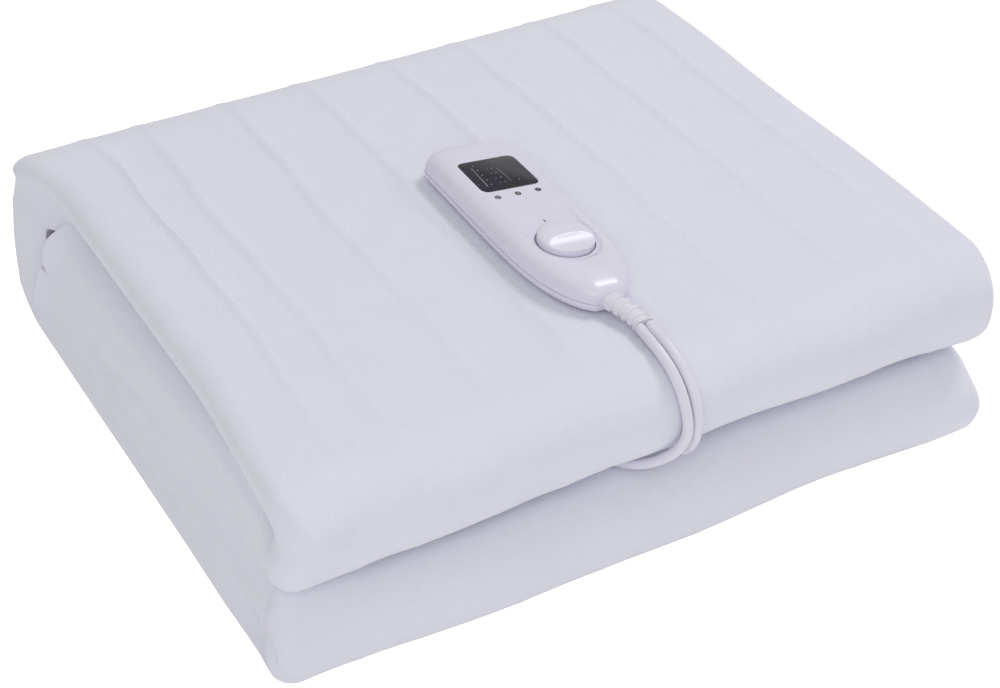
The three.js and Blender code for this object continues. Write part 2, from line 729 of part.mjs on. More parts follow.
// The lead on the right runs on through the pack, in rows that keep a lead's bend apart.
const mainsOver = [
  { x: 12, y: -144.9, z: 119.6 },
  { x: 11.8, y: -151, z: 119.3 },
  { x: 11.6, y: -157, z: 119.4 },
  { x: 11.6, y: -164.3, z: 118.3 },
  { x: 12.1, y: -173.9, z: 113.8 },
  { x: 12.9, y: -181.4, z: 106.3 },
  { x: 13.4, y: -185.9, z: 96.7 },
  { x: 13.6, y: -186.9, z: 88.8 },
  { x: 13.8, y: -185.9, z: 81 },
  { x: 14, y: -182.8, z: 73.6 },
  { x: 14.3, y: -178, z: 67.3 },
  { x: 14.6, y: -171.7, z: 62.5 },
  { x: 15, y: -165.4, z: 59.7 },
  { x: 15, y: -158, z: 58.4 },
];

// It comes out of the last row into the hollow behind the inner strips, down to the plug.
const mainsEnd = [
  { x: 10, y: 105, z: 57.2 },
  { x: 7.4, y: 115, z: 53.6 },
  { x: 1.2, y: 124, z: 49.4 },
  { x: -6.5, y: 131, z: 46 },
  { x: -13.5, y: 134, z: 44.2 },
  { x: -19.6, y: 134, z: 44 },
];

// The lead on the left curls under the bead and goes in a little to the left.
const blanketLead = [
  { x: 6.4, y: -145.4, z: 120.3 },
  { x: 6.1, y: -151, z: 119.8 },
  { x: 5.8, y: -157, z: 119.5 },
  { x: 5.8, y: -164.3, z: 118.3 },
  { x: 6.4, y: -173.9, z: 113.8 },
  { x: 7.1, y: -181.4, z: 106.3 },
  { x: 7.7, y: -185.9, z: 96.7 },
  { x: 7.8, y: -187.6, z: 88.8 },
  { x: 7.2, y: -187, z: 82.4 },
  { x: 5.8, y: -185.4, z: 77.2 },
  { x: 4.1, y: -183.5, z: 73.2 },
  { x: 2, y: -181.4, z: 70.1 },
  { x: -0.2, y: -179.3, z: 67.6 },
  { x: -2.4, y: -176.9, z: 65.3 },
  { x: -4.8, y: -173.9, z: 63 },
  { x: -7.4, y: -170.1, z: 60.8 },
  { x: -10.2, y: -165.6, z: 59 },
  { x: -13.2, y: -160.8, z: 58.3 },
  { x: -17.5, y: -156.2, z: 58.2 },
  { x: -25, y: -151.4, z: 58.2 },
  { x: -36, y: -147.6, z: 58.2 },
  { x: -50, y: -145.2, z: 58.2 },
  { x: -70, y: -143.2, z: 58.2 },
  { x: -95, y: -141, z: 58.2 },
  { x: -120, y: -140, z: 58.2 },
];

// Where each row of the mains lead ends, from the front of the pack to its back.
const rowEnds = [
  { y: -134, x: 155 },
  { y: -92, x: -80 },
  { y: -50, x: 155 },
  { y: -8, x: -120 },
  { y: 34, x: 155 },
  { y: 76, x: 35 },
];

function arc(list, x, y, radius, fromDeg, toDeg, steps) {
  for (let i = 0; i <= steps; i += 1) {
    const a = THREE.MathUtils.degToRad(THREE.MathUtils.lerp(fromDeg, toDeg, i / steps));
    list.push({ x: x + radius * Math.cos(a), y: y + radius * Math.sin(a), z: SLOT_Z });
  }
}

function mainsRoute() {
  const route = [...mainsOver];
  arc(route, 15 + SLOT_TURN, rowEnds[0].y - SLOT_TURN, SLOT_TURN, 180, 90, 4);
  rowEnds.slice(0, -1).forEach((row, i) => {
    const side = i % 2 === 0 ? 1 : -1;
    arc(route, row.x, row.y + SLOT_TURN, SLOT_TURN, -90, -90 + 180 * side, 8);
  });
  const last = rowEnds[rowEnds.length - 1];
  const exitTurn = 25;
  arc(route, last.x, last.y + exitTurn, exitTurn, 270, 180, 5);
  return [...route, ...mainsEnd];
}

function blanketRoute() {
  const route = [...blanketLead];
  const last = blanketLead[blanketLead.length - 1];
  arc(route, last.x, last.y + SLOT_TURN, SLOT_TURN, 255, 90, 8);
  route.push({ x: -108, y: last.y + 2 * SLOT_TURN, z: SLOT_Z });
  return route;
}

function leadSolid(route) {
  const points = route.map((p) => new THREE.Vector3(p.x, p.y, p.z));
  return tube(points, LEAD_RADIUS, LEAD_SIDES);
}

// The plug stands on its narrow side in the hollow behind the inner strips. Its own frame: u
// along it to its pins, v across its two flat faces, w along its width.

const plugLevels = [
  { u: 0, width: 8.2, thick: 8.2 },
  { u: 6, width: 8.6, thick: 8.6 },
  { u: 14, width: 9.8, thick: 9.6 },
  { u: PLUG_BOOT, width: 12, thick: 11 },
  { u: PLUG_BOOT + 2, width: 20, thick: 12.6 },
  { u: PLUG_BOOT + 7, width: 27, thick: PLUG_THICK },
  { u: PLUG_BOOT + 16, width: 32, thick: PLUG_THICK },
  { u: PLUG_BOOT + 27, width: PLUG_WIDTH, thick: PLUG_THICK },
  { u: PLUG_BOOT + PLUG_LENGTH - 1, width: PLUG_WIDTH, thick: PLUG_THICK },
  { u: PLUG_BOOT + PLUG_LENGTH, width: PLUG_WIDTH - 2, thick: PLUG_THICK - 2 },
];

function plugSection(width, thick) {
  const corner = 0.45 * thick;
  const flat = roundedRectangle(thick, width, corner);
  return flat.extractPoints(4).shape;
}

function pin(offset, fromU, toU, diameter) {
  const geometry = new THREE.CylinderGeometry(diameter / 2, diameter / 2, toU - fromU, 12);
  return geometry.rotateZ(Math.PI / 2).translate((fromU + toU) / 2, 0, offset);
}

function plugBody() {
  const rings = plugLevels.map((level) => plugSection(level.width, level.thick)
    .map((p) => new THREE.Vector3(level.u, p.x, p.y)));
  let solid = toManifold(loft(rings, outlineFaces(plugSection(PLUG_WIDTH, PLUG_THICK))));
  const face = PLUG_BOOT + PLUG_LENGTH;
  for (const offset of [-PIN_SPACING / 2, PIN_SPACING / 2]) {
    const sleeve = pin(offset, face - 2, face + SLEEVE_LENGTH, PIN_DIAMETER - 0.2);
    solid = solid.add(toManifold(sleeve));
  }
  return fromManifold(solid);
}

const plug = new THREE.Group();
plug.position.set(-20, 134, BOTTOM_Z + HALF_STRIP + JOIN_GAP + PLUG_WIDTH / 2);
plug.rotation.z = Math.PI;
assembly.add(plug);

addPiece(assembly, 'mains_lead', leadSolid(mainsRoute()), colours.lead, 0.4);
addPiece(assembly, 'blanket_lead', leadSolid(blanketRoute()), colours.lead, 0.4);
addPiece(plug, 'plug_body', plugBody(), colours.lead, 0.4);
[-PIN_SPACING / 2, PIN_SPACING / 2].forEach((offset, i) => {
  const face = PLUG_BOOT + PLUG_LENGTH;
  const geometry = pin(offset, face + SLEEVE_LENGTH + JOIN_GAP, face + PIN_LENGTH, PIN_DIAMETER);
  addPiece(plug, `plug_pin_${i + 1}`, geometry, colours.pin, 0.3, 1);
});

assembly.updateMatrixWorld(true);

export default assembly;
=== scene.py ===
# %% [markdown]
# A folded electric underblanket with its hand controller lying on top.
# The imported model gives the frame: every number below is placed in the same frame, with the
# shelf at z = 0, the pack's front towards -Y and its top towards +Z.
# Lengths are written in millimetres, as a maker would, and are turned into metres once, when
# a mesh is made.

# %% Load the frame
import math

import bmesh
import bpy
import numpy as np
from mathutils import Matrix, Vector
from mathutils.geometry import delaunay_2d_cdt


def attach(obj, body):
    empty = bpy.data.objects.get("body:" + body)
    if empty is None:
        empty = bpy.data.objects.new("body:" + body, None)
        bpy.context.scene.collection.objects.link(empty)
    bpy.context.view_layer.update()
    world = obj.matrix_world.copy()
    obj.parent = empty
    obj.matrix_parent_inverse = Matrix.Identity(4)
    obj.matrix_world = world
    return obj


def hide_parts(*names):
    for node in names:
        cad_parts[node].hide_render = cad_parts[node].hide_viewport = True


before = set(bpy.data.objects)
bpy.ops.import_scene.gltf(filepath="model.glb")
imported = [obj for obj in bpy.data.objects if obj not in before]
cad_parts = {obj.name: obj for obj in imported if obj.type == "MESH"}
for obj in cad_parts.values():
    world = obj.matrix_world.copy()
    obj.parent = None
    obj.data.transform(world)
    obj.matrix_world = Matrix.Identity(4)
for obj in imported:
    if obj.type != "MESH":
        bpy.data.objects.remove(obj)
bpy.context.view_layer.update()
MM = 0.001
scene = bpy.context.scene


# %% [markdown]
# The camera comes first, because everything is judged from it.
# It looks down on the pack's front left corner with a long lens, from a little over a metre
# away. Its place is written as a point and a direction that looks back at it.

# %% Make the camera
CAMERA_PLACE = Vector((-0.4469, -0.8209, 0.7178))
CAMERA_BACK = Vector((-0.3914, -0.6983, 0.5994))
CAMERA_LENS = 77.63
CAMERA_SENSOR = 36


def make_camera():
    data = bpy.data.cameras.new("camera")
    data.lens = CAMERA_LENS
    data.sensor_width = CAMERA_SENSOR
    data.dof.use_dof = False
    camera = bpy.data.objects.new("camera", data)
    camera.location = CAMERA_PLACE
    camera.rotation_mode = "QUATERNION"
    camera.rotation_quaternion = (-CAMERA_BACK).to_track_quat("-Z", "Y")
    scene.collection.objects.link(camera)
    scene.camera = camera
    return camera


camera = make_camera()
print("camera lens", camera.data.lens, "mm")


# %% [markdown]
# A few helpers are used all through the lesson.
# One eases a number between two limits, one reads a table and rounds its corners off, and one
# turns points and faces into a smooth object.

# %% Helpers for numbers
ROUNDING_SHIFTS = np.linspace(-1, 1, 9)
ROUNDING_WEIGHTS = 1 - np.abs(ROUNDING_SHIFTS) * 0.85
SAME_PLACE = 0.05


def ease(start, end, value):
    """Goes softly from 0 at the start to 1 at the end."""
    t = np.clip((np.asarray(value, float) - start) / (end - start), 0, 1)
    return t * t * (3 - 2 * t)


def read_table(value, places, heights, rounding):
    """Reads a table of heights, with its corners rounded over the given width."""
    value = np.asarray(value, float)
    total = np.zeros_like(value)
    for shift, weight in zip(ROUNDING_SHIFTS, ROUNDING_WEIGHTS):
        total += weight * np.interp(value + shift * rounding, places, heights)
    return total / ROUNDING_WEIGHTS.sum()


def arc_points(x, n, radius, start_deg, end_deg, steps):
    angles = np.radians(np.linspace(start_deg, end_deg, steps + 1))
    return np.column_stack([x + radius * np.cos(angles), n + radius * np.sin(angles)])


def flat_run(start, end, n, step):
    count = max(int(round(abs(end - start) / step)), 1)
    return add_column(np.linspace(start, end, count + 1)[:, None], n)


def add_column(rows, value):
    """The same rows with one value written behind each of them."""
    return np.column_stack([rows, np.full(len(rows), value)])


def without_repeats(rows):
    """Leaves out each row that lies where the row before it does."""
    kept = [rows[0]]
    for row in rows[1:]:
        if np.linalg.norm((row - kept[-1])[:2]) > SAME_PLACE:
            kept.append(row)
    return np.array(kept)


def distances(points):
    """How far along a line each of its points lies."""
    steps = np.linalg.norm(np.diff(np.asarray(points, float), axis=0), axis=1)
    return np.concatenate([[0], np.cumsum(steps)])


def read_along(points, lengths, places):
    """The points of a line at the given distances along it."""
    return np.column_stack([np.interp(places, lengths, column) for column in points.T])


def blend(p, q, t, start, end):
    """Goes straight from p to q while t goes from the start to the end."""
    return ((end - t) * p + (t - start) * q) / (end - start)


def smooth_path(points, spacing):
    """Points every few millimetres along a soft curve through the given ones."""
    points = np.asarray(points, float)
    padded = np.vstack([2 * points[0] - points[1], points, 2 * points[-1] - points[-2]])
    fine = []
    for k in range(1, len(padded) - 2):
        a, b, c, d = near = padded[k - 1:k + 3]
        gaps = [max(np.linalg.norm(step), 1e-6) ** 0.5 for step in np.diff(near, axis=0)]
        k0, k1, k2, k3 = np.cumsum([0] + gaps)
        t = np.linspace(k1, k2, 16, endpoint=False)[:, None]
        ab, bc, cd = blend(a, b, t, k0, k1), blend(b, c, t, k1, k2), blend(c, d, t, k2, k3)
        fine.append(blend(blend(ab, bc, t, k0, k2), blend(bc, cd, t, k1, k3), t, k1, k2))
    fine = np.vstack(fine + [points[-1:]])
    lengths = distances(fine)
    steps = max(int(round(lengths[-1] / spacing)), 2)
    return read_along(fine, lengths, np.linspace(0, lengths[-1], steps + 1))


# %% Helpers for meshes
def link_object(name, data):
    piece = bpy.data.objects.new(name, data)
    scene.collection.objects.link(piece)
    return piece


def shade(mesh, sharp_deg):
    """Smooth shading, except at edges sharper than the given angle."""
    mesh.shade_smooth()
    mesh.set_sharp_from_angle(angle=math.radians(sharp_deg))


def make_piece(name, points_mm, faces, sharp_deg=40):
    mesh = bpy.data.meshes.new(name)
    mesh.from_pydata((np.asarray(points_mm, float) * MM).tolist(), [], faces)
    mesh.validate()
    shade(mesh, sharp_deg)
    return link_object(name, mesh)


def band_faces(first, second):
    """Quads between two closed rings, each given by the numbers of its points."""
    return list(zip(first, np.roll(first, -1), np.roll(second, -1), second))


def ring_faces(rings, count, close_end=True):
    """Quads between rings of points, with a cap at the start and one at the end if asked."""
    numbers = np.arange(rings * count).reshape(rings, count)
    faces = []
    for first, second in zip(numbers, numbers[1:]):
        faces += band_faces(first, second)
    faces.append(numbers[0][::-1])
    if close_end:
        faces.append(numbers[-1])
    return [tuple(int(i) for i in face) for face in faces]


# %% [markdown]
# Two white leads leave the controller side by side, hang over the front bead and go into the
# gap between the two halves of the pack. The mains lead lies inside in rows, as it was put
# away, and ends in a flat plug in the hollow at the back. The other lead feeds the blanket.
# A real lead is one curve of a known length, so each route is a table of points and arcs.

# %% The routes of the two leads
LEAD_DIAMETER = 5.2
SLOT_Z = 58.2
SLOT_TURN = 21

MAINS_OVER = [
    (12, -144.9, 119.6), (11.8, -151, 119.3), (11.6, -157, 119.4), (11.6, -164.3, 118.3),
    (12.1, -173.9, 113.8), (12.9, -181.4, 106.3), (13.4, -185.9, 96.7), (13.6, -186.9, 88.8),
    (13.8, -185.9, 81), (14, -182.8, 73.6), (14.3, -178, 67.3), (14.6, -171.7, 62.5),
    (15, -165.4, 59.7), (15, -158, 58.4),
]
MAINS_END = [
    (10, 105, 57.2), (7.4, 115, 53.6), (1.2, 124, 49.4), (-6.5, 131, 46),
    (-13.5, 134, 44.2), (-19.6, 134, 44),
]
BLANKET_LEAD = [
    (6.4, -145.4, 120.3), (6.1, -151, 119.8), (5.8, -157, 119.5), (5.8, -164.3, 118.3),
    (6.4, -173.9, 113.8), (7.1, -181.4, 106.3), (7.7, -185.9, 96.7), (7.8, -187.6, 88.8),
    (7.2, -187, 82.4), (5.8, -185.4, 77.2), (4.1, -183.5, 73.2), (2, -181.4, 70.1),
    (-0.2, -179.3, 67.6), (-2.4, -176.9, 65.3), (-4.8, -173.9, 63), (-7.4, -170.1, 60.8),
    (-10.2, -165.6, 59), (-13.2, -160.8, 58.3), (-17.5, -156.2, 58.2), (-25, -151.4, 58.2),
    (-36, -147.6, 58.2), (-50, -145.2, 58.2), (-70, -143.2, 58.2), (-95, -141, 58.2),
    (-120, -140, 58.2),
]
ROW_ENDS = [(-134, 155), (-92, -80), (-50, 155), (-8, -120), (34, 155), (76, 35)]
EXIT_TURN = 25
BLANKET_END_X = -108


def flat_arc(x, y, radius, start_deg, end_deg, steps):
    return list(add_column(arc_points(x, y, radius, start_deg, end_deg, steps), SLOT_Z))


def mains_route():
    first_x, first_y = MAINS_OVER[-1][0] + SLOT_TURN, ROW_ENDS[0][0] - SLOT_TURN
    route = MAINS_OVER + flat_arc(first_x, first_y, SLOT_TURN, 180, 90, 6)
    for i, (y, x) in enumerate(ROW_ENDS[:-1]):
        side = 1 if i % 2 == 0 else -1
        route += flat_arc(x, y + SLOT_TURN, SLOT_TURN, -90, -90 + 180 * side, 12)
    y, x = ROW_ENDS[-1]
    return route + flat_arc(x, y + EXIT_TURN, EXIT_TURN, 270, 180, 6) + MAINS_END


def blanket_route():
    x, y, _ = BLANKET_LEAD[-1]
    turn = flat_arc(x, y + SLOT_TURN, SLOT_TURN, 255, 90, 12)
    return BLANKET_LEAD + turn + [(BLANKET_END_X, y + 2 * SLOT_TURN, SLOT_Z)]


# %% Make the leads as round curves
LEAD_SPACING = 3.0


def make_lead(name, route):
    points = smooth_path(route, LEAD_SPACING)
    data = bpy.data.curves.new(name, "CURVE")
    data.dimensions = "3D"
    data.bevel_depth = LEAD_DIAMETER / 2 * MM
    data.bevel_resolution = 5
    data.use_fill_caps = True
    spline = data.splines.new("POLY")
    spline.points.add(len(points) - 1)
    for point, place in zip(spline.points, points * MM):
        point.co = (*place, 1)
    spline.use_smooth = True
    piece = link_object(name, data)
    print(name, "is", round(distances(points)[-1]), "mm long")
    return piece, points


mains_lead, mains_points = make_lead("lead_to_mains", mains_route())
blanket_lead, blanket_points = make_lead("lead_to_blanket", blanket_route())


# %% [markdown]
# The blanket is one large sheet. It was folded in four across its width, which gives a strip
# of four plies, and that strip was folded in four again.
# So its shape follows a rule: one section, the four plies seen from the strip's end, is carried
# along one path, the fold seen from the pack's side. Geometry Nodes do just that with Curve to
# Mesh. The sewn channels over the heating wire are troughs that run along the path, so the
# section carries how deep each point of it is sewn, and the path carries how much of that
# shows, for the stretched outer face of the pack shows more of it than a bead does.

# %% The section across the strip
CLOTH_THICK = 5.0
PLY_PITCH = 7.0
HALF_CLOTH = CLOTH_THICK / 2
HALF_WIDTH = 200.0
PLY_3 = 1.5 * PLY_PITCH
PLY_2 = 0.5 * PLY_PITCH
PLY_1 = -0.5 * PLY_PITCH
PLY_4 = -1.5 * PLY_PITCH
WRAP_X = -HALF_WIDTH + HALF_CLOTH + PLY_3
RIGHT_TURN_X = HALF_WIDTH - HALF_CLOTH - PLY_2
HEM_1_X = HALF_WIDTH - 7
HEM_4_X = HALF_WIDTH - 4
CHANNEL_X = [-157.5, -126.3, -76.2, -29.5, 23.7, 69.9, 123.1, 169]
CHANNEL_DEPTH = 1.5
CHANNEL_SPREAD = 2.5
PILLOW_CROWN = 0.6
PILLOW_SPREAD = 10.0
HEM_STEP = 14
FACE_STEP = 2.1
INNER_STEP = 26


def section_loop():
    h = HALF_CLOTH
    turn_n = (PLY_3 + PLY_2) / 2
    parts = [
        flat_run(HEM_4_X - h, WRAP_X, PLY_4 - h, HEM_STEP),
        arc_points(WRAP_X, 0, PLY_3 + h, 270, 90, 22),
        flat_run(WRAP_X, RIGHT_TURN_X, PLY_3 + h, FACE_STEP),
        arc_points(RIGHT_TURN_X, turn_n, PLY_2 + h, 90, -90, 14),
        flat_run(RIGHT_TURN_X, WRAP_X, PLY_2 - h, INNER_STEP),
        arc_points(WRAP_X, 0, PLY_2 - h, 90, 270, 6),
        flat_run(WRAP_X, HEM_1_X - h, PLY_1 + h, INNER_STEP),
        arc_points(HEM_1_X - h, PLY_1, h, 90, -90, 8),
        flat_run(HEM_1_X - h, WRAP_X, PLY_1 - h, INNER_STEP),
        arc_points(WRAP_X, 0, PLY_2 + h, 270, 90, 8),
        flat_run(WRAP_X, RIGHT_TURN_X, PLY_2 + h, INNER_STEP),
        arc_points(RIGHT_TURN_X, turn_n, PLY_2 - h, -90, 90, 6),
        flat_run(RIGHT_TURN_X, WRAP_X, PLY_3 - h, INNER_STEP),
        arc_points(WRAP_X, 0, PLY_3 - h, 90, 270, 10),
        flat_run(WRAP_X, HEM_4_X - h, PLY_4 + h, INNER_STEP),
        arc_points(HEM_4_X - h, PLY_4, h, 90, -90, 8),
    ]
    return without_repeats(np.vstack(parts))[:-1]


def sewn_depth(section):
    """How far each point of the section's outer face is drawn in by the channels."""
    outer = section[:, 1] > PLY_3 + HALF_CLOTH - 0.01
    depth = np.zeros(len(section))
    for x in CHANNEL_X:
        away = section[:, 0] - x
        depth += CHANNEL_DEPTH * np.exp(-(away / CHANNEL_SPREAD) ** 2)
        depth += PILLOW_CROWN * np.exp(-(away / PILLOW_SPREAD) ** 2)
    return depth * outer


section = section_loop()
print("the section has", len(section), "points")


# %% The path of the fold
FRONT_Y = -184.0
BACK_Y = 184.0
STRIP_GAP = 3.1
SLOT_GAP = 6.2
STRIP_THICK = 3 * PLY_PITCH + CLOTH_THICK
HALF_STRIP = STRIP_THICK / 2
BOTTOM_Z = HALF_STRIP
LOWER_Z = BOTTOM_Z + STRIP_THICK + STRIP_GAP
UPPER_Z = LOWER_Z + STRIP_THICK + SLOT_GAP
TOP_Z = UPPER_Z + STRIP_THICK + STRIP_GAP
PACK_HEIGHT = TOP_Z + HALF_STRIP
TURN_BEND = (STRIP_THICK + STRIP_GAP) / 2
TURN_Y = FRONT_Y + HALF_STRIP + TURN_BEND
SPINE_BEND = 31.8
SPINE_LEAN = 5.0
UPPER_END_Y = 98.0
LOWER_END_Y = 112.0
LOW_BEND_Y = BACK_Y - HALF_STRIP - SPINE_BEND
HIGH_BEND_Y = LOW_BEND_Y - SPINE_LEAN
LOW_BEND_Z = BOTTOM_Z + SPINE_BEND
HIGH_BEND_Z = TOP_Z - SPINE_BEND
END_FINE = 36.0
END_STEP = 3.6
STRIP_STEP = 9
TOP_STEP = 4.5
BOTTOM_STEP = 10
BLUR = 9


def fold_path():
    """The fold's points, and how much of the channels shows at each of them."""
    lean_deg = math.degrees(math.atan2(SPINE_LEAN, HIGH_BEND_Z - LOW_BEND_Z))
    upper_turn_z, lower_turn_z = (UPPER_Z + TOP_Z) / 2, (BOTTOM_Z + LOWER_Z) / 2
    upper_fine, lower_fine = UPPER_END_Y - END_FINE, LOWER_END_Y - END_FINE
    parts = [
        (flat_run(UPPER_END_Y, upper_fine, UPPER_Z, END_STEP), 0.0),
        (flat_run(upper_fine, TURN_Y, UPPER_Z, STRIP_STEP), 0.0),
        (arc_points(TURN_Y, upper_turn_z, TURN_BEND, 270, 90, 30), 0.35),
        (flat_run(TURN_Y, HIGH_BEND_Y, TOP_Z, TOP_STEP), 1.0),
        (arc_points(HIGH_BEND_Y, HIGH_BEND_Z, SPINE_BEND, 90, lean_deg, 16), 0.3),
        (arc_points(LOW_BEND_Y, LOW_BEND_Z, SPINE_BEND, lean_deg, -90, 18), 0.2),
        (flat_run(LOW_BEND_Y, TURN_Y, BOTTOM_Z, BOTTOM_STEP), 0.0),
        (arc_points(TURN_Y, lower_turn_z, TURN_BEND, 270, 90, 30), 0.3),
        (flat_run(TURN_Y, lower_fine, LOWER_Z, STRIP_STEP), 0.0),
        (flat_run(lower_fine, LOWER_END_Y, LOWER_Z, END_STEP), 0.0),
    ]
    y, z, share = without_repeats(np.vstack([add_column(*part) for part in parts])).T
    share = np.pad(share * (0.4 + 0.6 * ease(-150, 40, y)), BLUR // 2, mode="edge")
    return np.column_stack([0 * y, y, z]), np.convolve(share, np.ones(BLUR) / BLUR, mode="valid")


path, channel_share = fold_path()
print("the path has", len(path), "points and is", round(distances(path)[-1]), "mm long")


# %% [markdown]
# Geometry Nodes read both outlines as edges with named numbers on their points, because plain
# edges can carry numbers of their own, and turn them into curves inside the tree.
# The tree has an input for the section, one for how strongly the channels draw in, and one for
# the cloth's material.
# The helpers set an input where they are given a value and link it where they are given another
# node's socket, so that a tree reads from its first node to its last.

# %% Small helpers for node trees
def feed(tree, node, inputs):
    """Links each input to the socket given for it, or sets it to the value."""
    for label, value in inputs.items():
        if isinstance(value, bpy.types.NodeSocket):
            tree.links.new(value, node.inputs[label])
        else:
            node.inputs[label].default_value = value


def add_node(tree, kind, inputs=None, **settings):
    node = tree.nodes.new(kind)
    for key, value in settings.items():
        setattr(node, key, value)
    feed(tree, node, inputs or {})
    return node


def calc(tree, operation, *values):
    """A Math node on sockets or plain numbers, given as the socket of its result."""
    return add_node(tree, "ShaderNodeMath", dict(enumerate(values)), operation=operation).outputs[0]


def start_tree(name, kind, inputs, outputs):
    """A tree with named inputs and outputs, and the sockets of what it is given."""
    tree = bpy.data.node_groups.new(name, kind)
    for side, sockets in (("INPUT", inputs), ("OUTPUT", outputs)):
        for label, socket_kind, *value in sockets:
            socket_type = "NodeSocket" + socket_kind
            socket = tree.interface.new_socket(label, in_out=side, socket_type=socket_type)
            if value:
                socket.default_value = value[0]
    return tree, add_node(tree, "NodeGroupInput").outputs


def finish_shape(tree, mesh, material):
    """The end of a shape's tree: plain faces with their material."""
    plain = add_node(tree, "GeometryNodeRealizeInstances", {"Geometry": mesh})
    inputs = {"Geometry": plain.outputs[0], "Material": material}
    dressed = add_node(tree, "GeometryNodeSetMaterial", inputs)
    add_node(tree, "NodeGroupOutput", {"Mesh": dressed.outputs[0]})
    return tree


def edge_line(name, points, closed=False, **numbers):
    """A line of edges in metres, with a named number on each point."""
    mesh = bpy.data.meshes.new(name)
    last = len(points) - 1
    edges = [(i, i + 1) for i in range(last)]
    if closed:
        edges.append((last, 0))
    mesh.from_pydata((np.asarray(points) * MM).tolist(), edges, [])
    for key, values in numbers.items():
        attribute = mesh.attributes.new(key, "FLOAT", "POINT")
        attribute.data.foreach_set("value", np.asarray(values, np.float32))
    return link_object(name, mesh)


def run_nodes(host, tree, inputs):
    """Runs a tree on an object and gives the plain mesh that comes out."""
    modifier = host.modifiers.new("shape", "NODES")
    modifier.node_group = tree
    for item in tree.interface.items_tree:
        if item.item_type == "SOCKET" and item.in_out == "INPUT" and item.name in inputs:
            modifier[item.identifier] = inputs[item.name]
    bpy.context.view_layer.update()
    evaluated = host.evaluated_get(bpy.context.evaluated_depsgraph_get())
    mesh = bpy.data.meshes.new_from_object(evaluated)
    host.modifiers.remove(modifier)
    return mesh


# %% The tree that carries the section along the fold
SWEEP_INPUTS = [("Path", "Geometry"), ("Section", "Object"), ("Sewn depth", "Float", 1.0),
                ("Cloth", "Material")]


def named_number(tree, name):
    node = add_node(tree, "GeometryNodeInputNamedAttribute", data_type="FLOAT")
    feed(tree, node, {"Name": name})
    return node.outputs["Attribute"]


def make_sweep_tree():
    tree, given = start_tree("cloth along its fold", "GeometryNodeTree", SWEEP_INPUTS,
                             [("Mesh", "Geometry")])
    fold = add_node(tree, "GeometryNodeMeshToCurve", {"Mesh": given["Path"]})
    outline = add_node(tree, "GeometryNodeObjectInfo", {"Object": given["Section"]})
    loop = add_node(tree, "GeometryNodeMeshToCurve", {"Mesh": outline.outputs["Geometry"]})
    sweep = add_node(tree, "GeometryNodeCurveToMesh", {
        "Curve": fold.outputs["Curve"], "Profile Curve": loop.outputs["Curve"], "Fill Caps": True})
    drawn_in = calc(tree, "MULTIPLY", named_number(tree, "sewn"), named_number(tree, "share"))
    depth = calc(tree, "MULTIPLY", drawn_in, given["Sewn depth"])
    normal = add_node(tree, "GeometryNodeInputNormal").outputs["Normal"]
    inwards = add_node(tree, "ShaderNodeVectorMath", operation="SCALE")
    feed(tree, inwards, {0: normal, "Scale": depth})
    move = add_node(tree, "GeometryNodeSetPosition", {
        "Geometry": sweep.outputs["Mesh"], "Offset": inwards.outputs[0]})
    return finish_shape(tree, move.outputs["Geometry"], given["Cloth"])


sweep_tree = make_sweep_tree()
fleece = bpy.data.materials.new("brushed_fleece")


# %% Sweep the cloth
def sweep_cloth():
    flat = add_column(section * [-1, 1], 0)[::-1]
    outline = edge_line("section_line", flat, True, sewn=sewn_depth(section)[::-1] * MM,
                        across=distances(section)[::-1] * MM)
    line = edge_line("fold_line", path, False, share=channel_share, along=distances(path) * MM)
    mesh = run_nodes(line, sweep_tree, {"Section": outline, "Sewn depth": -1.0, "Cloth": fleece})
    for helper in (outline, line):
        bpy.data.objects.remove(helper)
    return mesh


cloth_mesh = sweep_cloth()
print("the swept cloth has", len(cloth_mesh.vertices), "points")


def read_points(mesh):
    flat = np.empty(len(mesh.vertices) * 3, np.float32)
    mesh.vertices.foreach_get("co", flat)
    return flat.reshape(-1, 3).astype(float) / MM


# %% [markdown]
# The swept cloth is still as straight as a drawing. A real pack has settled: its left folds sag
# into two long creases, each front bead hangs over like a hook, the two beads bulge and draw
# in, and the top gives way under the controller and towards its back right corner.
# Each of these is one smooth movement of every point, so nothing tears and the plies stay in
# their order.

# %% Press the left folds into two creases
CREASE_Y = [-184, -163, -150, -95, -61, -20, 14, 41, 90, 130, 184]
LOW_CREASE_Z = [25, 30, 40, 44, 46, 42, 40, 37, 34, 32, 29]
MID_CREASE_Z = [58, 61, 67, 71, 71, 70, 65, 60, 62, 62, 59]
CREASE_ROUNDING = 9
PRESSED = 0.5
SLOT_PRESSED = 5.2


def settle_height(x, y, z):
    low = read_table(y, CREASE_Y, LOW_CREASE_Z, CREASE_ROUNDING)
    mid = read_table(y, CREASE_Y, MID_CREASE_Z, CREASE_ROUNDING)
    slot = SLOT_PRESSED * ease(-160, -130, y) * ease(140, 124, y)
    rest = [0, BOTTOM_Z + HALF_STRIP, LOWER_Z - HALF_STRIP, LOWER_Z + HALF_STRIP,
            UPPER_Z - HALF_STRIP, UPPER_Z + HALF_STRIP, PACK_HEIGHT]
    settled = [0, low + PRESSED, low - PRESSED, mid + PRESSED, mid - PRESSED,
               UPPER_Z + HALF_STRIP + slot, PACK_HEIGHT]
    height = np.array(z, float)
    for k in range(len(rest) - 1):
        inside = (z >= rest[k]) & (z <= rest[k + 1])
        t = (z - rest[k]) / (rest[k + 1] - rest[k])
        height = np.where(inside, settled[k] + t * (settled[k + 1] - settled[k]), height)
    return z + ease(-145, -190, x) * (height - z)


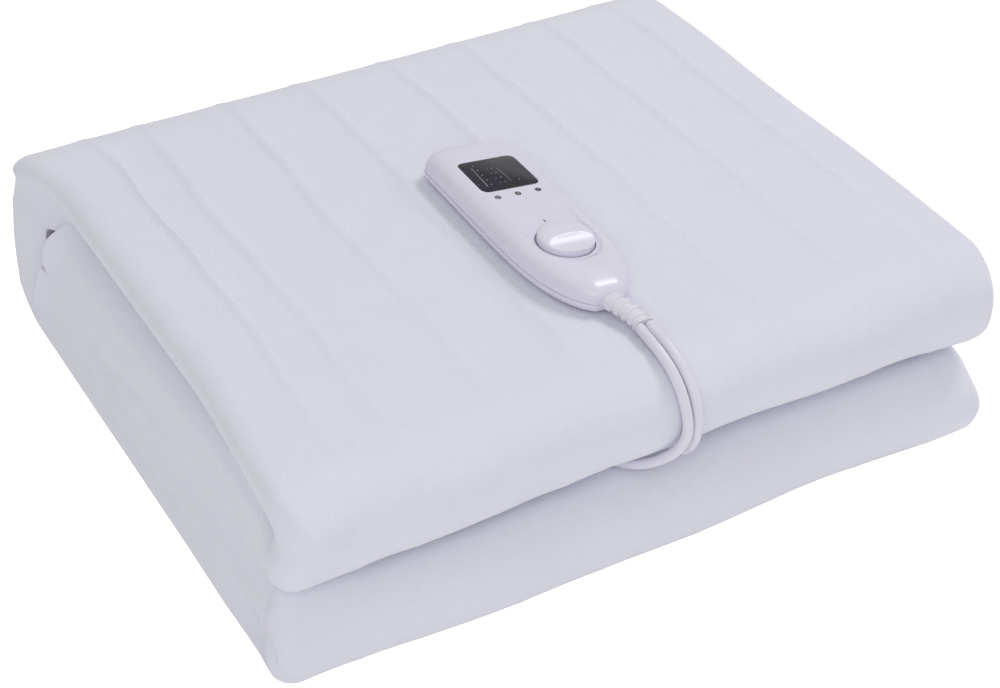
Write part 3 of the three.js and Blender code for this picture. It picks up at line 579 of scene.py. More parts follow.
# %% Set the left side back and crease the beads
SET_BACK_Z = [0, 26, 44, 66, 84, 91, 104, 117]
SET_BACK_FRONT = [0, 0, 1, 3, 4, 8, 7, 3]
SET_BACK_MIDDLE = [0, 0, 3, 6, 10, 15, 13, 12]
SET_BACK_REAR = [0, -0.5, -0.5, 0.5, 1, 1.5, 0, 0]
SET_BACK_ROUNDING = 4
HOOK_DEPTH = 6
HOOK_START_Y = -130
HOOK_REACH = 36
UPPER_HOOK_Z = (91, 60)
LOWER_HOOK_Z = (40, 14)


def hook_crease(y, z, top_z, bottom_z):
    """The crease behind a front bead, round the bead like a hook."""
    along = (HOOK_START_Y - y) / HOOK_REACH
    down = (top_z - z) / (top_z - bottom_z)
    reach = np.hypot(np.maximum(along, 0), 1 - np.minimum(down, 1))
    inside = (down >= 0) * ease(1.9, 0.95, down)
    return HOOK_DEPTH * (1 - ease(0.8, 1.05, reach)) * ease(-40, -150, y) * inside


def settle_side(x, y, z):
    front, middle, rear = [read_table(z, SET_BACK_Z, depths, SET_BACK_ROUNDING)
                           for depths in (SET_BACK_FRONT, SET_BACK_MIDDLE, SET_BACK_REAR)]
    set_back = middle + (front - middle) * ease(-60, -178, y) + (rear - middle) * ease(100, 170, y)
    lower = hook_crease(y, z, *LOWER_HOOK_Z) * ease(4, 16, z) * ease(-110, -150, y)
    hooks = hook_crease(y, z, *UPPER_HOOK_Z) + lower
    return x + ease(-120, -192, x) * (set_back + hooks)


# %% [markdown]
# At the back left corner the packer tucked the ends of the two inner strips right into the
# spine, and along the side the plies press together until their creases are only lines.
# So the ends reach back there, the spine's inner plies bulge to meet them, and the rounded
# edges beside a crease are drawn out towards the flat of the side.

# %% Tuck the ends in and close the creases
TUCK_Z = [30, 58, 63, 76, 88]
TUCK = [20, 8, 21, 19, 12]
BULGE_Z = [30, 35, 45, 58, 67, 72, 78, 82, 88, 97]
SPINE_BULGE = [17, 24, 31, 35, 34, 24, 24, 40, 48, 44]
SPINE_START = 118.0
END_ROOM = 16.0
CURL = 4.2
CURL_REACH = 6.0
FILL_REACH = 14.0
LOW_FILL = 0.93
MID_FILL = 0.99
CORNER_FILL = 0.77


def depth_in_spine(y, z):
    """How far a point lies from the outer face of the spine (0) to its inner face (1)."""
    middle = np.interp(z, [LOW_BEND_Z, HIGH_BEND_Z], [LOW_BEND_Y, HIGH_BEND_Y])
    beyond = np.where(z > HIGH_BEND_Z, z - HIGH_BEND_Z, np.minimum(z - LOW_BEND_Z, 0))
    reach = np.hypot(np.maximum(y - middle, 0), beyond)
    return np.clip((SPINE_BEND + HALF_STRIP - reach) / STRIP_THICK, 0, 1)


def inner_strips(y, z):
    """Which points belong to the two inner strips, and where each point's strip ends."""
    inner = (z > STRIP_THICK + 1) & (z < TOP_Z - HALF_STRIP - 1) & (y < LOWER_END_Y + END_ROOM)
    return inner, np.where(z > SLOT_Z, UPPER_END_Y, LOWER_END_Y)


def tuck_ends(x, y, z):
    inner, end = inner_strips(y, z)
    tuck = np.interp(z, TUCK_Z, TUCK) * ease(-148, -190, x) * ease(-70, 0, y - end) * inner
    level = ease(20, 31, z) * ease(104, 95, z)
    bulge = read_table(z, BULGE_Z, SPINE_BULGE, 1) * level * ease(-140, -186, x)
    bulge *= depth_in_spine(y, z) * ease(SPINE_START, HIGH_BEND_Y + 7, y)
    return np.where(~inner & (y > SPINE_START), y - bulge, y + tuck)


def curl_ends(x, y, z):
    """The corner of each tucked end curls a little out of the side."""
    inner, end = inner_strips(y, z)
    return CURL * inner * np.exp(-((y - end) / CURL_REACH) ** 2) * ease(-170, -190, x)


def fill_creases(x, y, z, depth):
    """Draws the rounded edges beside a crease out to the flat of the side."""
    low = read_table(y, CREASE_Y, LOW_CREASE_Z, CREASE_ROUNDING) - 0.1 * STRIP_GAP
    mid = read_table(y, CREASE_Y, MID_CREASE_Z, CREASE_ROUNDING)
    low_fill = LOW_FILL * ease(FILL_REACH, 4, np.abs(z - low)) * ease(-174, -150, y)
    mid_fill = MID_FILL * ease(FILL_REACH, 4, np.abs(z - mid)) * ease(-170, -154, y)
    corner = CORNER_FILL * ease(84, 104, y) * ease(22, 34, z) * ease(97, 84, z)
    fill = np.maximum(np.maximum(low_fill, mid_fill), corner) * ease(0.5, 0.75, depth)
    inwards = x + HALF_WIDTH
    return inwards * (1 - fill * (1 - ease(13, 46, inwards))) - HALF_WIDTH


# %% [markdown]
# The right side, the front beads and the top move less. Each gets its own slow waves, the front
# beads sag a little between the places where the pack holds them up, and the top takes the
# controller's lean where the controller rests on it.

# %% Settle the right side, the front beads and the top
CASE_X = 2.4
CASE_Y = -49.9
CASE_ROLL = math.radians(6.7)
TOP_SETTLED = 0.5


def settle_right(x, y, z):
    flare = 4.4 * ease(-20, 130, y)
    notch = 6 * ease(24, 48, z) * ease(74, 58, z)
    lower = 1.4 * ease(62, 40, z)
    wave = 1.1 * np.sin(y / 47 + z / 19)
    return x - ease(150, 196, x) * (3.2 - flare + notch + lower + wave)


def settle_front(x, y, z):
    upper_wave = 1.6 * np.sin(x / 37 + 0.6) + 1.1 * np.sin(x / 17 + 2) - 2.4
    lower_wave = 1.5 * np.sin(x / 43 + 2.4) + 0.9 * np.sin(x / 21) - 0.4
    wave = lower_wave + (upper_wave - lower_wave) * ease(55, 66, z)
    return y - ease(-140, -178, y) * wave


BEAD_SAG_X = [-200, -186, -160, -139, -84, -48, -26, 70, 127, 169, 200]
BEAD_SAG = [2, 3, 5, 4.5, 5.6, 4.1, 0, 0, 2.9, 4.8, 4.8]


def sag_under_bead(x, y, z):
    share = ease(-158, -172, y) * ease(96, 74, z) * (z >= SLOT_Z)
    return z - share * np.interp(x, BEAD_SAG_X, BEAD_SAG)


def settle_top(x, y, z):
    share = ease(96, PACK_HEIGHT - 1, z)
    across = x - CASE_X
    under = ease(46, 24, np.abs(across)) * ease(-155, -128, y) * ease(50, 26, y)
    lean = -math.tan(CASE_ROLL) * np.clip(across, -19, 19) * under
    uneven = 0.5 * np.sin(x / 61 + 1) * np.sin(y / 53 + 0.4) * (1 - under)
    droop = 3.4 * ease(-200, 200, x) * ease(70, 150, y)
    return z + share * (lean + uneven - droop - TOP_SETTLED)


def waver(x, y, z):
    """The sewn channels do not run quite straight."""
    on_top = ease(100, PACK_HEIGHT - 2, z) * ease(-196, -160, x) * ease(196, 160, x)
    return on_top * (1.1 * np.sin(y / 31 + x / 40) + 0.6 * np.sin(y / 13 + x / 23))


SIDE_WRINKLES = [
    (52, 51, 20, 41, 1.8, 3.4), (30, 53, -14, 62, 1.6, 3.8), (-20, 66, -95, 50, 1.0, 6.0),
    (95, 70, 40, 44, 1.0, 6.0), (-75, 84, -128, 62, 0.8, 6.0), (-150, 37, -168, 34.5, 1.6, 3.0),
    (-168, 35, -177, 14, 3.2, 3.0), (122, 104, 132, 97, 1.6, 4.5),
]


def side_wrinkles(x, y, z):
    """Soft troughs in the left side, each along a line from one place (y, z) to another."""
    pushed = np.zeros_like(x)
    for y0, z0, y1, z1, depth, width in SIDE_WRINKLES:
        run_y, run_z = y1 - y0, z1 - z0
        length = math.hypot(run_y, run_z)
        along = ((y - y0) * run_y + (z - z0) * run_z) / length
        away = ((y - y0) * run_z - (z - z0) * run_y) / length
        held = ease(-12, 14, along) * ease(length + 12, length - 14, along)
        pushed += depth * held * np.exp(-(away / width) ** 2)
    return pushed * ease(-176, -188, x)


def settle(points):
    x, y, z = points.T
    depth = depth_in_spine(y, z)
    curl = curl_ends(x, y, z)
    y = tuck_ends(x, y, z)
    z_new = settle_top(x, y, settle_height(x, y, sag_under_bead(x, y, z)))
    filled = fill_creases(x, y, z_new, depth)
    x_new = settle_right(settle_side(filled, y, z_new), y, z_new)
    x_new += side_wrinkles(x_new, y, z_new) - curl
    return np.column_stack([x_new + waver(x, y, z), settle_front(x, y, z), z_new])


# %% Write the settled points back and give the cloth its own map
CLOTH_SHARP = 50


def write_points(mesh, points):
    mesh.vertices.foreach_set("co", (points * MM).astype(np.float32).ravel())
    mesh.update()


def map_cloth(mesh):
    """A map in metres of cloth: across the strip and along the fold."""
    places = np.empty((2, len(mesh.vertices)), np.float32)
    for row, name in zip(places, ("across", "along")):
        mesh.attributes[name].data.foreach_get("value", row)
    corners = np.empty(len(mesh.loops), np.int32)
    mesh.loops.foreach_get("vertex_index", corners)
    layer = mesh.uv_layers.new(name="cloth")
    layer.data.foreach_set("uv", places.T[corners].ravel())


def finish_cloth(mesh):
    write_points(mesh, settle(read_points(mesh)))
    map_cloth(mesh)
    shade(mesh, CLOTH_SHARP)
    return link_object("folded_cloth", mesh)


folded_cloth = finish_cloth(cloth_mesh)
low, high = read_points(cloth_mesh).min(0), read_points(cloth_mesh).max(0)
print("folded cloth from", low.round(1), "to", high.round(1), len(cloth_mesh.polygons), "faces")


# %% [markdown]
# The controller is a hand-held plastic case about 150 mm long: a top and a base that meet in a
# thin seam. It was moulded, so every edge is rounded.
# It has its own frame: u across it, v along it away from the leads, and w out of its display.
# The whole group lies tipped a few degrees to the right on the soft cloth, and one function
# turns its points into the pack's frame.

# %% The controller's frame
CASE_LENGTH = 149.5
CASE_HALF_WIDTH = 26.3
CASE_THICK = 17.0
JOIN_GAP = 0.3
CASE_Z = PACK_HEIGHT - TOP_SETTLED + JOIN_GAP
CASE_CORNER = 11.0
CASE_TIP = 7.2
OUTLINE_POINTS = 220


def to_pack(points):
    u, v, w = np.asarray(points, float).T
    cos, sin = math.cos(CASE_ROLL), math.sin(CASE_ROLL)
    return np.column_stack([CASE_X + u * cos + w * sin, CASE_Y + v, CASE_Z - u * sin + w * cos])


def case_half_width(v):
    taper = np.clip((-10 - v) / 66.75, 0, 1)
    tapered = CASE_HALF_WIDTH * np.sqrt(1 - taper ** 2.6)
    straight = CASE_HALF_WIDTH - 0.9 * ease(0, CASE_LENGTH / 2, v)
    return np.where(v < -10, tapered, straight)


def case_outline():
    """The case seen from above, from its narrow end round to the left, evenly spaced."""
    half = CASE_LENGTH / 2
    tip_v = -half + 0.02 * np.arange(0, 10) ** 2.6
    v = np.concatenate([tip_v, np.linspace(-half + 8, half - CASE_CORNER, 90)])
    right = np.column_stack([np.maximum(case_half_width(v), CASE_TIP), v])
    corner_u = float(case_half_width(np.array(half - CASE_CORNER))) - CASE_CORNER
    turn = arc_points(corner_u, half - CASE_CORNER, CASE_CORNER, 0, 90, 14)
    top_u = np.linspace(corner_u, 0, 9)[1:]
    top = np.column_stack([top_u, half + 0.7 * (1 - (top_u / corner_u) ** 2)])
    bottom = add_column(np.linspace(0, CASE_TIP, 7)[1:-1, None], -half)
    side = np.vstack([bottom, right, turn[1:], top])
    return even_loop(np.vstack([side, (side[::-1] * [-1, 1])[1:]]), OUTLINE_POINTS)


def even_loop(points, count):
    """The same closed outline with evenly spaced points."""
    closed = np.vstack([points, points[:1]])
    lengths = distances(closed)
    return read_along(closed, lengths, np.linspace(0, lengths[-1], count, endpoint=False))


def level_curve(levels, steps):
    """Finer levels between the named ones, on a soft curve."""
    return smooth_path(levels, distances(levels)[-1] / steps)


def case_rings(outline, levels):
    """The outline drawn in at each level, more so at its tapered end."""
    rings = []
    for inset, w, tip in levels:
        factor = 1 + (tip - 1) * ease(18, -8, outline[:, 1])
        u = outline[:, 0] * (1 - inset / CASE_HALF_WIDTH)
        v = outline[:, 1] * (1 - factor * inset / (CASE_LENGTH / 2))
        rings.append(add_column(np.column_stack([u, v]), w))
    return rings


# %% [markdown]
# The top's face is cut by three things: the seat of the display's lens, the well that the dial
# turns in, and a shallow U-shaped recess that lets a finger reach round the dial.
# The rounded sides are rings, each drawn in a little further than the last. The flat face
# inside the last ring is filled with triangles that meet every outline exactly, so that each
# hole can have its own small rounded lip.

# %% The recess round the dial
KNOB_V = -31.0
KNOB_RADIUS = 14.3
WELL_RADIUS = KNOB_RADIUS + 0.8
WELL_DEPTH = 4.0
RECESS_V = -32.6
RECESS_FLAT = 15.2
RECESS_CREST = 17.9
RECESS_DEPTH = 1.7


def recess_surface(u, v):
    """The height that the finger recess cuts down to."""
    reach = np.where(v > RECESS_V, np.abs(u), np.hypot(u, v - RECESS_V))
    depth = RECESS_DEPTH * ease(7, -24, v)
    wall = ease(RECESS_FLAT, RECESS_CREST, reach)
    return CASE_THICK - depth * (1 - wall) + 1.2 * ease(RECESS_CREST - 0.4, RECESS_CREST + 3, reach)


def soft_minimum(a, b, width):
    gap = np.clip(0.5 + 0.5 * (b - a) / width, 0, 1)
    return b + (a - b) * gap - width * gap * (1 - gap)


def cut_recess(points):
    u, v, w = points.T
    cut = soft_minimum(w, recess_surface(u, v), 0.18)
    near = (w > CASE_THICK - 4) & (v < 12) & (v > -54)
    return np.column_stack([u, v, np.where(near, np.minimum(cut, w), w)])


# %% Outlines of the holes in the face
WINDOW_V = 36.4
WINDOW_WIDTH = 32.4
WINDOW_LENGTH = 30.2
WINDOW_RADIUS = 4.0


def rounded_box(width, length, radius, v, corner_steps=8, side_steps=10):
    a, b = width / 2 - radius, length / 2 - radius
    corners = [(a, b), (-a, b), (-a, -b), (a, -b)]
    arcs = [arc_points(*corner, radius, 90 * k, 90 * k + 90, corner_steps)
            for k, corner in enumerate(corners)]
    t = np.linspace(0, 1, side_steps + 1)[1:-1, None]
    parts = []
    for arc, following in zip(arcs, arcs[1:] + arcs[:1]):
        parts += [arc, arc[-1] + (following[0] - arc[-1]) * t]
    return np.vstack(parts) + [0, v]


def circle(radius, v, count):
    angles = np.linspace(0, 2 * math.pi, count, endpoint=False)
    return np.column_stack([radius * np.cos(angles), v + radius * np.sin(angles)])


def inside_loop(points, loop):
    """Which points lie inside a closed outline."""
    inside = np.zeros(len(points), bool)
    u, v = points.T
    for (au, av), (bu, bv) in zip(loop, np.roll(loop, -1, axis=0)):
        if av == bv:
            continue
        crosses = (av > v) != (bv > v)
        at = au + (v - av) / (bv - av) * (bu - au)
        inside ^= crosses & (u < at)
    return inside


def fill_face(outer, holes, spacing):
    """Triangles between an outer loop and its holes, meeting every point of each."""
    def in_face(places):
        in_hole = np.any([inside_loop(places, hole) for hole in holes], axis=0)
        return inside_loop(places, outer) & ~in_hole

    (low_u, low_v), (high_u, high_v) = outer.min(0), outer.max(0)
    across, along = np.meshgrid(np.arange(low_u, high_u, spacing),
                                np.arange(low_v, high_v, spacing))
    grid = np.column_stack([across.ravel(), along.ravel()])
    grid = grid[in_face(grid)]
    rim = np.vstack([outer, *holes])
    clearance = np.array([np.min(np.hypot(*(rim - place).T)) for place in grid])
    points = np.vstack([rim, grid[clearance > 0.45 * spacing]])
    edges, start = [], 0
    for loop in (outer, *holes):
        count = len(loop)
        edges += [(start + i, start + (i + 1) % count) for i in range(count)]
        start += count
    made = delaunay_2d_cdt([Vector(p) for p in points], edges, [], 0, 1e-5)
    flat, faces = np.array([tuple(p) for p in made[0]]), np.array([tuple(f) for f in made[2]])
    return flat, faces[in_face(flat[faces].mean(1))]


# %% Build the top of the case
TOP_LEVELS = [
    (0.5, 6.5, 0), (0.5, 8.0, 0.1), (0.55, 9.3, 0.3), (1.5, 12.2, 1.0), (3.3, 14.6, 1.5),
    (6.2, 16.3, 1.9), (8.1, 16.84, 2.0), (9.4, 17.0, 2.0),
]
LIP = 0.35
SEAT_DEPTH = 1.4
DECK_SPACING = 1.15


def window_seat(grown):
    extra = 2 * (JOIN_GAP + grown)
    return rounded_box(WINDOW_WIDTH + extra, WINDOW_LENGTH + extra, WINDOW_RADIUS + grown, WINDOW_V)


def dial_well(grown):
    return circle(WELL_RADIUS + grown, KNOB_V, 112)


def sunk_hole(outline, depth):
    """A hole's rounded lip and its wall: outlines, and how far each lies below the face."""
    sizes = [(LIP, 0), (LIP * 0.3, LIP * 0.3), (0, LIP), (0, depth)]
    return [(outline(grown), drop) for grown, drop in sizes]


def build_case_top():
    rings = case_rings(case_outline(), level_curve(TOP_LEVELS, 30))
    count = len(rings[0])
    rings = [rings[0] * [0.985, 0.985, 1]] + rings
    faces = ring_faces(len(rings), count, close_end=False)
    holes = [sunk_hole(window_seat, SEAT_DEPTH), sunk_hole(dial_well, WELL_DEPTH)]
    flat, triangles = fill_face(rings[-1][:, :2], [hole[0][0] for hole in holes], DECK_SPACING)
    points = np.vstack([*rings, add_column(flat, CASE_THICK)])
    numbers = len(rings) * count + np.arange(len(flat))
    numbers[:count] -= count
    faces += [tuple(numbers[triangle]) for triangle in triangles]
    first = count
    for hole in holes:
        size = len(hole[0][0])
        above = numbers[first:first + size]
        first += size
        for loop, drop in hole[1:]:
            below = len(points) + np.arange(size)
            points = np.vstack([points, add_column(loop, CASE_THICK - drop)])
            faces += band_faces(above, below)
            above = below
        faces.append(tuple(above))
    return cut_recess(points), [tuple(int(i) for i in face) for face in faces]


def moulded(name, built, sharp_deg=40, place=to_pack):
    """A closed piece from its points and faces, with its doubles merged and turned outwards."""
    points, faces = built
    return close_and_turn(make_piece(name, place(points), faces, sharp_deg))


def close_and_turn(piece):
    work = bmesh.new()
    work.from_mesh(piece.data)
    bmesh.ops.remove_doubles(work, verts=work.verts, dist=2e-6)
    loose = [v for v in work.verts if not v.link_faces]
    bmesh.ops.delete(work, geom=loose, context="VERTS")
    bmesh.ops.recalc_face_normals(work, faces=work.faces)
    if work.calc_volume(signed=True) < 0:
        bmesh.ops.reverse_faces(work, faces=work.faces)
    open_edges = sum(1 for e in work.edges if not e.is_manifold)
    work.to_mesh(piece.data)
    work.free()
    print(piece.name, "has", len(piece.data.polygons), "faces,", open_edges, "open edges")
    return piece


case_top = moulded("case_top", build_case_top(), 35)


# %% Build the base of the case
BASE_LEVELS = [
    (7.0, 0, 1.3), (5.4, 0.25, 1.2), (4.0, 0.8, 1.1), (1.6, 2.4, 0.6), (0.5, 4.2, 0.2),
    (0.1, 5.6, 0.1), (0.25, 6.2, 0.1),
]


def stack(rings):
    """The points and faces of a closed piece that is a stack of rings."""
    return np.vstack(rings), ring_faces(len(rings), len(rings[0]))


base_rings = case_rings(case_outline(), level_curve(BASE_LEVELS, 16))
case_base = moulded("case_base", stack(base_rings), 35)


# %% [markdown]
# The dial is a low dome whose near half is hollowed into a thumb scoop with a soft edge.
# It is a height for each point of a disc: the lower of the dome and of a round trough, with
# their meeting edge eased.

# %% Build the dial
KNOB_RISE = 4.0
KNOB_SIDE = 1.2
SCOOP_RADIUS = 16.0
SCOOP_V = -10.4
SCOOP_TOP = 13.2
DIAL_SIDES = 96
DIAL_FOOT = -3.7


def dial_height(u, v):
    out = np.clip(np.hypot(u, v) / KNOB_RADIUS, 0, 1)
    lift = np.sqrt(np.maximum(1 - out ** 2.5, 0))
    dome = KNOB_SIDE + (KNOB_RISE - KNOB_SIDE) * lift
    away = np.clip(v - SCOOP_V, -SCOOP_RADIUS, SCOOP_RADIUS)
    scoop = SCOOP_TOP + KNOB_RISE - np.sqrt(SCOOP_RADIUS ** 2 - away ** 2)
    return soft_minimum(dome, scoop, 0.3)


def build_dial():
    radii = np.concatenate([np.linspace(0.6, 12.8, 22), np.linspace(13.1, KNOB_RADIUS, 9)])
    rings = []
    for radius in radii:
        flat = circle(radius, 0, DIAL_SIDES)
        rings.append(np.column_stack([flat, dial_height(*flat.T)]))
    edge, height = rings[-1][:, :2], rings[-1][:, 2]
    for down in (0.35, 1.2, 2.4, 3.3):
        rings.append(np.column_stack([edge, np.minimum(height - 0.05, KNOB_SIDE - down)]))
    points, faces = stack(rings + [add_column(edge * 0.96, DIAL_FOOT)])
    return points + [0, KNOB_V, CASE_THICK], faces


dial = moulded("dial_cap", build_dial())


# %% [markdown]
# The display is a dark polished lens. It shows faint scale marks: two columns of dots and a
# single dot, with thin bars beside them. Below it on the case are three small dark buttons
# printed on the face. The marks are thin flat pieces that stand a few hundredths of a
# millimetre proud, as a print does.

# %% Build the lens
LENS_W = CASE_THICK - 0.05
LENS_EDGE = [(0, 1.05), (0, 0.2), (-0.06, 0.06), (-0.2, 0)]


def build_lens():
    radius = WINDOW_RADIUS - JOIN_GAP
    return stack([add_column(rounded_box(WINDOW_WIDTH + 2 * grown, WINDOW_LENGTH + 2 * grown,
                                         radius + grown, WINDOW_V), LENS_W - drop)
                  for grown, drop in LENS_EDGE])


lens = moulded("display_lens", build_lens(), 30)


# %% The marks on the display
PRINT_PROUD = 0.03
PRINT_SUNK = 0.02
DOT_RADIUS = 0.42
FIRST_ROWS = (47, 42.2, 37.4, 32.5, 27.7)
SECOND_ROWS = (42.3, 37.5, 32.6, 27.8)
DISPLAY_BARS = [
    *[(-3.8, v, -2.8, v, 0.3, 0.3) for v in SECOND_ROWS], (-10.6, 45.6, -11.3, 26.4, 0.3, 0.6),
    (2.3, 41.9, 3.0, 27.8, 0.25, 0.25), (-15.0, 43.5, -14.2, 43.5, 0.3, 0.3),
    (-15.2, 29.7, -14.4, 29.7, 0.3, 0.3),
]


def join_parts(parts):
    points, faces, start = [], [], 0
    for part_points, part_faces in parts:
        points.append(part_points)
        faces += [tuple(i + start for i in f) for f in part_faces]
        start += len(part_points)
    return np.vstack(points), faces


def flat_mark(loop, w):
    return stack([add_column(loop, w - PRINT_SUNK), add_column(loop, w + PRINT_PROUD)])


def bar(u0, v0, u1, v1, start_width, end_width):
    a, b = np.array([u0, v0]), np.array([u1, v1])
    side = np.array([-(b - a)[1], (b - a)[0]]) / np.linalg.norm(b - a)
    start, end = side * start_width / 2, side * end_width / 2
    return np.array([a - start, b - end, b + end, a + start])


def dot(u, v, radius=DOT_RADIUS, count=16):
    return circle(radius, v, count) + [u, 0]


def display_marks():
    dots = [(-8.5, v) for v in FIRST_ROWS] + [(-0.4, v) for v in SECOND_ROWS] + [(7.4, 27.5)]
    marks = [dot(u, v) for u, v in dots] + [bar(*ends) for ends in DISPLAY_BARS]
    return join_parts([flat_mark(loop, LENS_W) for loop in marks])


display_print = moulded("display_marks", display_marks())


# %% The three printed buttons and the dial's index line
BUTTON_PLACES = [(-11.9, 15.0), (-0.3, 15.2), (11.4, 15.3)]
BUTTON_RADIUS = 1.7
INDEX_LINE = (-0.3, -10.2, -0.3, -12.2, 0.45, 0.45)
INDEX_DROP = 0.9
RING_RADIUS = 0.9
RING_STEP = 0.5


def button_discs():
    parts = [flat_mark(dot(u, v, BUTTON_RADIUS, 40), CASE_THICK) for u, v in BUTTON_PLACES]
    return join_parts(parts + [flat_mark(bar(*INDEX_LINE), CASE_THICK - INDEX_DROP)])


def ring_bar(u, v, angle):
    """One short side of an open ring."""
    ends = [(u + RING_RADIUS * math.cos(a), v + RING_RADIUS * math.sin(a))
            for a in (angle, angle + RING_STEP)]
    return (*ends[0], *ends[1], 0.25, 0.25)


def button_symbols():
    (au, av), (bu, bv), (cu, cv) = BUTTON_PLACES
    bars = [(au, av + 0.9, au, av - 0.1, 0.32, 0.32)]
    bars += [ring_bar(au, av - 0.15, angle) for angle in np.linspace(2.4, 6.6, 9)]
    bars += [(bu - 0.8, bv + k, bu + 0.8, bv + k, 0.28, 0.28) for k in (-0.35, 0.35)]
    bars += [(cu, cv, cu, cv + 0.9, 0.28, 0.28), (cu, cv, cu + 0.65, cv, 0.28, 0.28)]
    return join_parts([flat_mark(bar(*ends), CASE_THICK + PRINT_PROUD) for ends in bars])


button_print = moulded("button_print", button_discs())
symbol_print = moulded("button_symbols", button_symbols())


# %% [markdown]
# Where the leads leave the case they pass through a rubbery strain relief: a flat bar cut by
# grooves so that it can bend. The ribs repeat along a path, so Geometry Nodes make them: the
# path gets a radius that drops into each groove, and an oval is carried along it.

# %% The ribbed strain relief
RELIEF_WIDTH = 12.6
RELIEF_FLAT = 0.64
RELIEF_SPACING = 0.25
RELIEF_SHARP = 50
RELIEF_PATH = [(0.6, -70.6, 7.0), (1.4, -75, 7.0), (3.0, -80, 6.7), (4.7, -85, 6.1),
               (5.9, -90, 5.3), (6.3, -94.6, 4.6)]

RELIEF_INPUTS = [
    ("Path", "Geometry"), ("Width", "Float", 0.0126), ("Flatness", "Float", 0.64),
    ("Groove depth", "Float", 0.16), ("First groove", "Float", 0.22), ("Grooves", "Float", 4.0),
    ("Taper", "Float", 0.1), ("Rubber", "Material"),
]
RELIEF_SIDES = 40


def make_relief_tree():
    tree, given = start_tree("ribbed bar along a path", "GeometryNodeTree", RELIEF_INPUTS,
                             [("Mesh", "Geometry")])
    curve = add_node(tree, "GeometryNodeMeshToCurve", {"Mesh": given["Path"]})
    place = add_node(tree, "GeometryNodeSplineParameter").outputs["Factor"]
    begun = add_node(tree, "ShaderNodeMapRange", {
        "Value": place, "From Min": given["First groove"]}).outputs[0]
    wave = calc(tree, "FRACT", calc(tree, "MULTIPLY", begun, given["Grooves"]))
    away = calc(tree, "ABSOLUTE", calc(tree, "SUBTRACT", wave, 0.5))
    groove = add_node(tree, "ShaderNodeMapRange", interpolation_type="SMOOTHSTEP")
    feed(tree, groove, {"Value": away, "From Min": 0.27, "From Max": 0.19})
    held = calc(tree, "MULTIPLY", groove.outputs[0], calc(tree, "GREATER_THAN", begun, 0.0))
    depth = calc(tree, "MULTIPLY", held, given["Groove depth"])
    taper = calc(tree, "MULTIPLY", place, given["Taper"])
    size = calc(tree, "SUBTRACT", 1.0, calc(tree, "ADD", depth, taper))
    half = calc(tree, "MULTIPLY", given["Width"], 0.5)
    flat = calc(tree, "MULTIPLY", half, given["Flatness"])
    shape = add_node(tree, "ShaderNodeCombineXYZ", {"X": half, "Y": flat, "Z": half})
    ring = add_node(tree, "GeometryNodeCurvePrimitiveCircle", {
        "Resolution": RELIEF_SIDES, "Radius": 1.0})
    oval = add_node(tree, "GeometryNodeTransform", {
        "Geometry": ring.outputs["Curve"], "Scale": shape.outputs[0]})
    sweep = add_node(tree, "GeometryNodeCurveToMesh", {
        "Curve": curve.outputs["Curve"], "Profile Curve": oval.outputs["Geometry"],
        "Scale": size, "Fill Caps": True})
    return finish_shape(tree, sweep.outputs["Mesh"], given["Rubber"])


relief_tree = make_relief_tree()
relief_rubber = bpy.data.materials.new("relief_rubber")


def build_relief():
    line = edge_line("relief_line", smooth_path(to_pack(RELIEF_PATH), RELIEF_SPACING))
    inputs = {"Width": RELIEF_WIDTH * MM, "Flatness": RELIEF_FLAT, "Rubber": relief_rubber}
    mesh = run_nodes(line, relief_tree, inputs)
    bpy.data.objects.remove(line)
    shade(mesh, RELIEF_SHARP)
    return link_object("ribbed_relief", mesh)


relief = close_and_turn(build_relief())


# %% [markdown]
# The mains plug stands on its narrow side in the hollow at the back. It is a flat two-pin plug:
# one moulded body with a long boot, two sleeves and two steel pins.

# %% Build the plug and its pins
PLUG_X = -20.0
PLUG_Y = 134.0
PLUG_WIDTH = 35.3
PLUG_Z = BOTTOM_Z + HALF_STRIP + JOIN_GAP + PLUG_WIDTH / 2
PLUG_LEVELS = [
    (0, 6.6, 6.6), (0.7, 8.0, 8.0), (6, 8.6, 8.6), (14, 9.8, 9.6), (20, 12, 11), (22, 20, 12.6),
    (27, 27, 13.7), (36, 32, 13.7), (47, 35.3, 13.7), (54.4, 35.3, 13.7), (55.5, 34.6, 13.0),
    (56, 33.3, 11.7),
]
PIN_SPACING = 18.6
PLUG_FACE_U = 56.0
SLEEVE_END_U = PLUG_FACE_U + 10.0
PIN_END_U = PLUG_FACE_U + 19.0
SLEEVE_PROFILE = [(PLUG_FACE_U - 2, 1.9), (SLEEVE_END_U - 0.2, 1.9), (SLEEVE_END_U, 1.75)]
PIN_PROFILE = [(SLEEVE_END_U + 0.02, 1.9), (SLEEVE_END_U + 0.1, 2.0), (PIN_END_U - 1.3, 2.0),
               (PIN_END_U - 0.6, 1.8), (PIN_END_U - 0.15, 1.3), (PIN_END_U, 0.6)]


def plug_to_pack(points):
    u, v, w = np.asarray(points, float).T
    return np.column_stack([PLUG_X - u, PLUG_Y - v, PLUG_Z + w])


def plug_body():
    rings = []
    for u, width, thick in smooth_path(PLUG_LEVELS, 1.1):
        loop = rounded_box(thick, width, 0.45 * min(thick, width), 0, 6, 4)
        rings.append(np.column_stack([np.full(len(loop), u), loop]))
    return stack(rings)


def turned_pair(profile, sides=28):
    """Two round parts side by side, each turned to the same profile."""
    parts = []
    for offset in (-PIN_SPACING / 2, PIN_SPACING / 2):
        rings = [np.column_stack([np.full(sides, u), circle(radius, 0, sides) + [0, offset]])
                 for u, radius in profile]
        parts.append(stack(rings))
    return parts


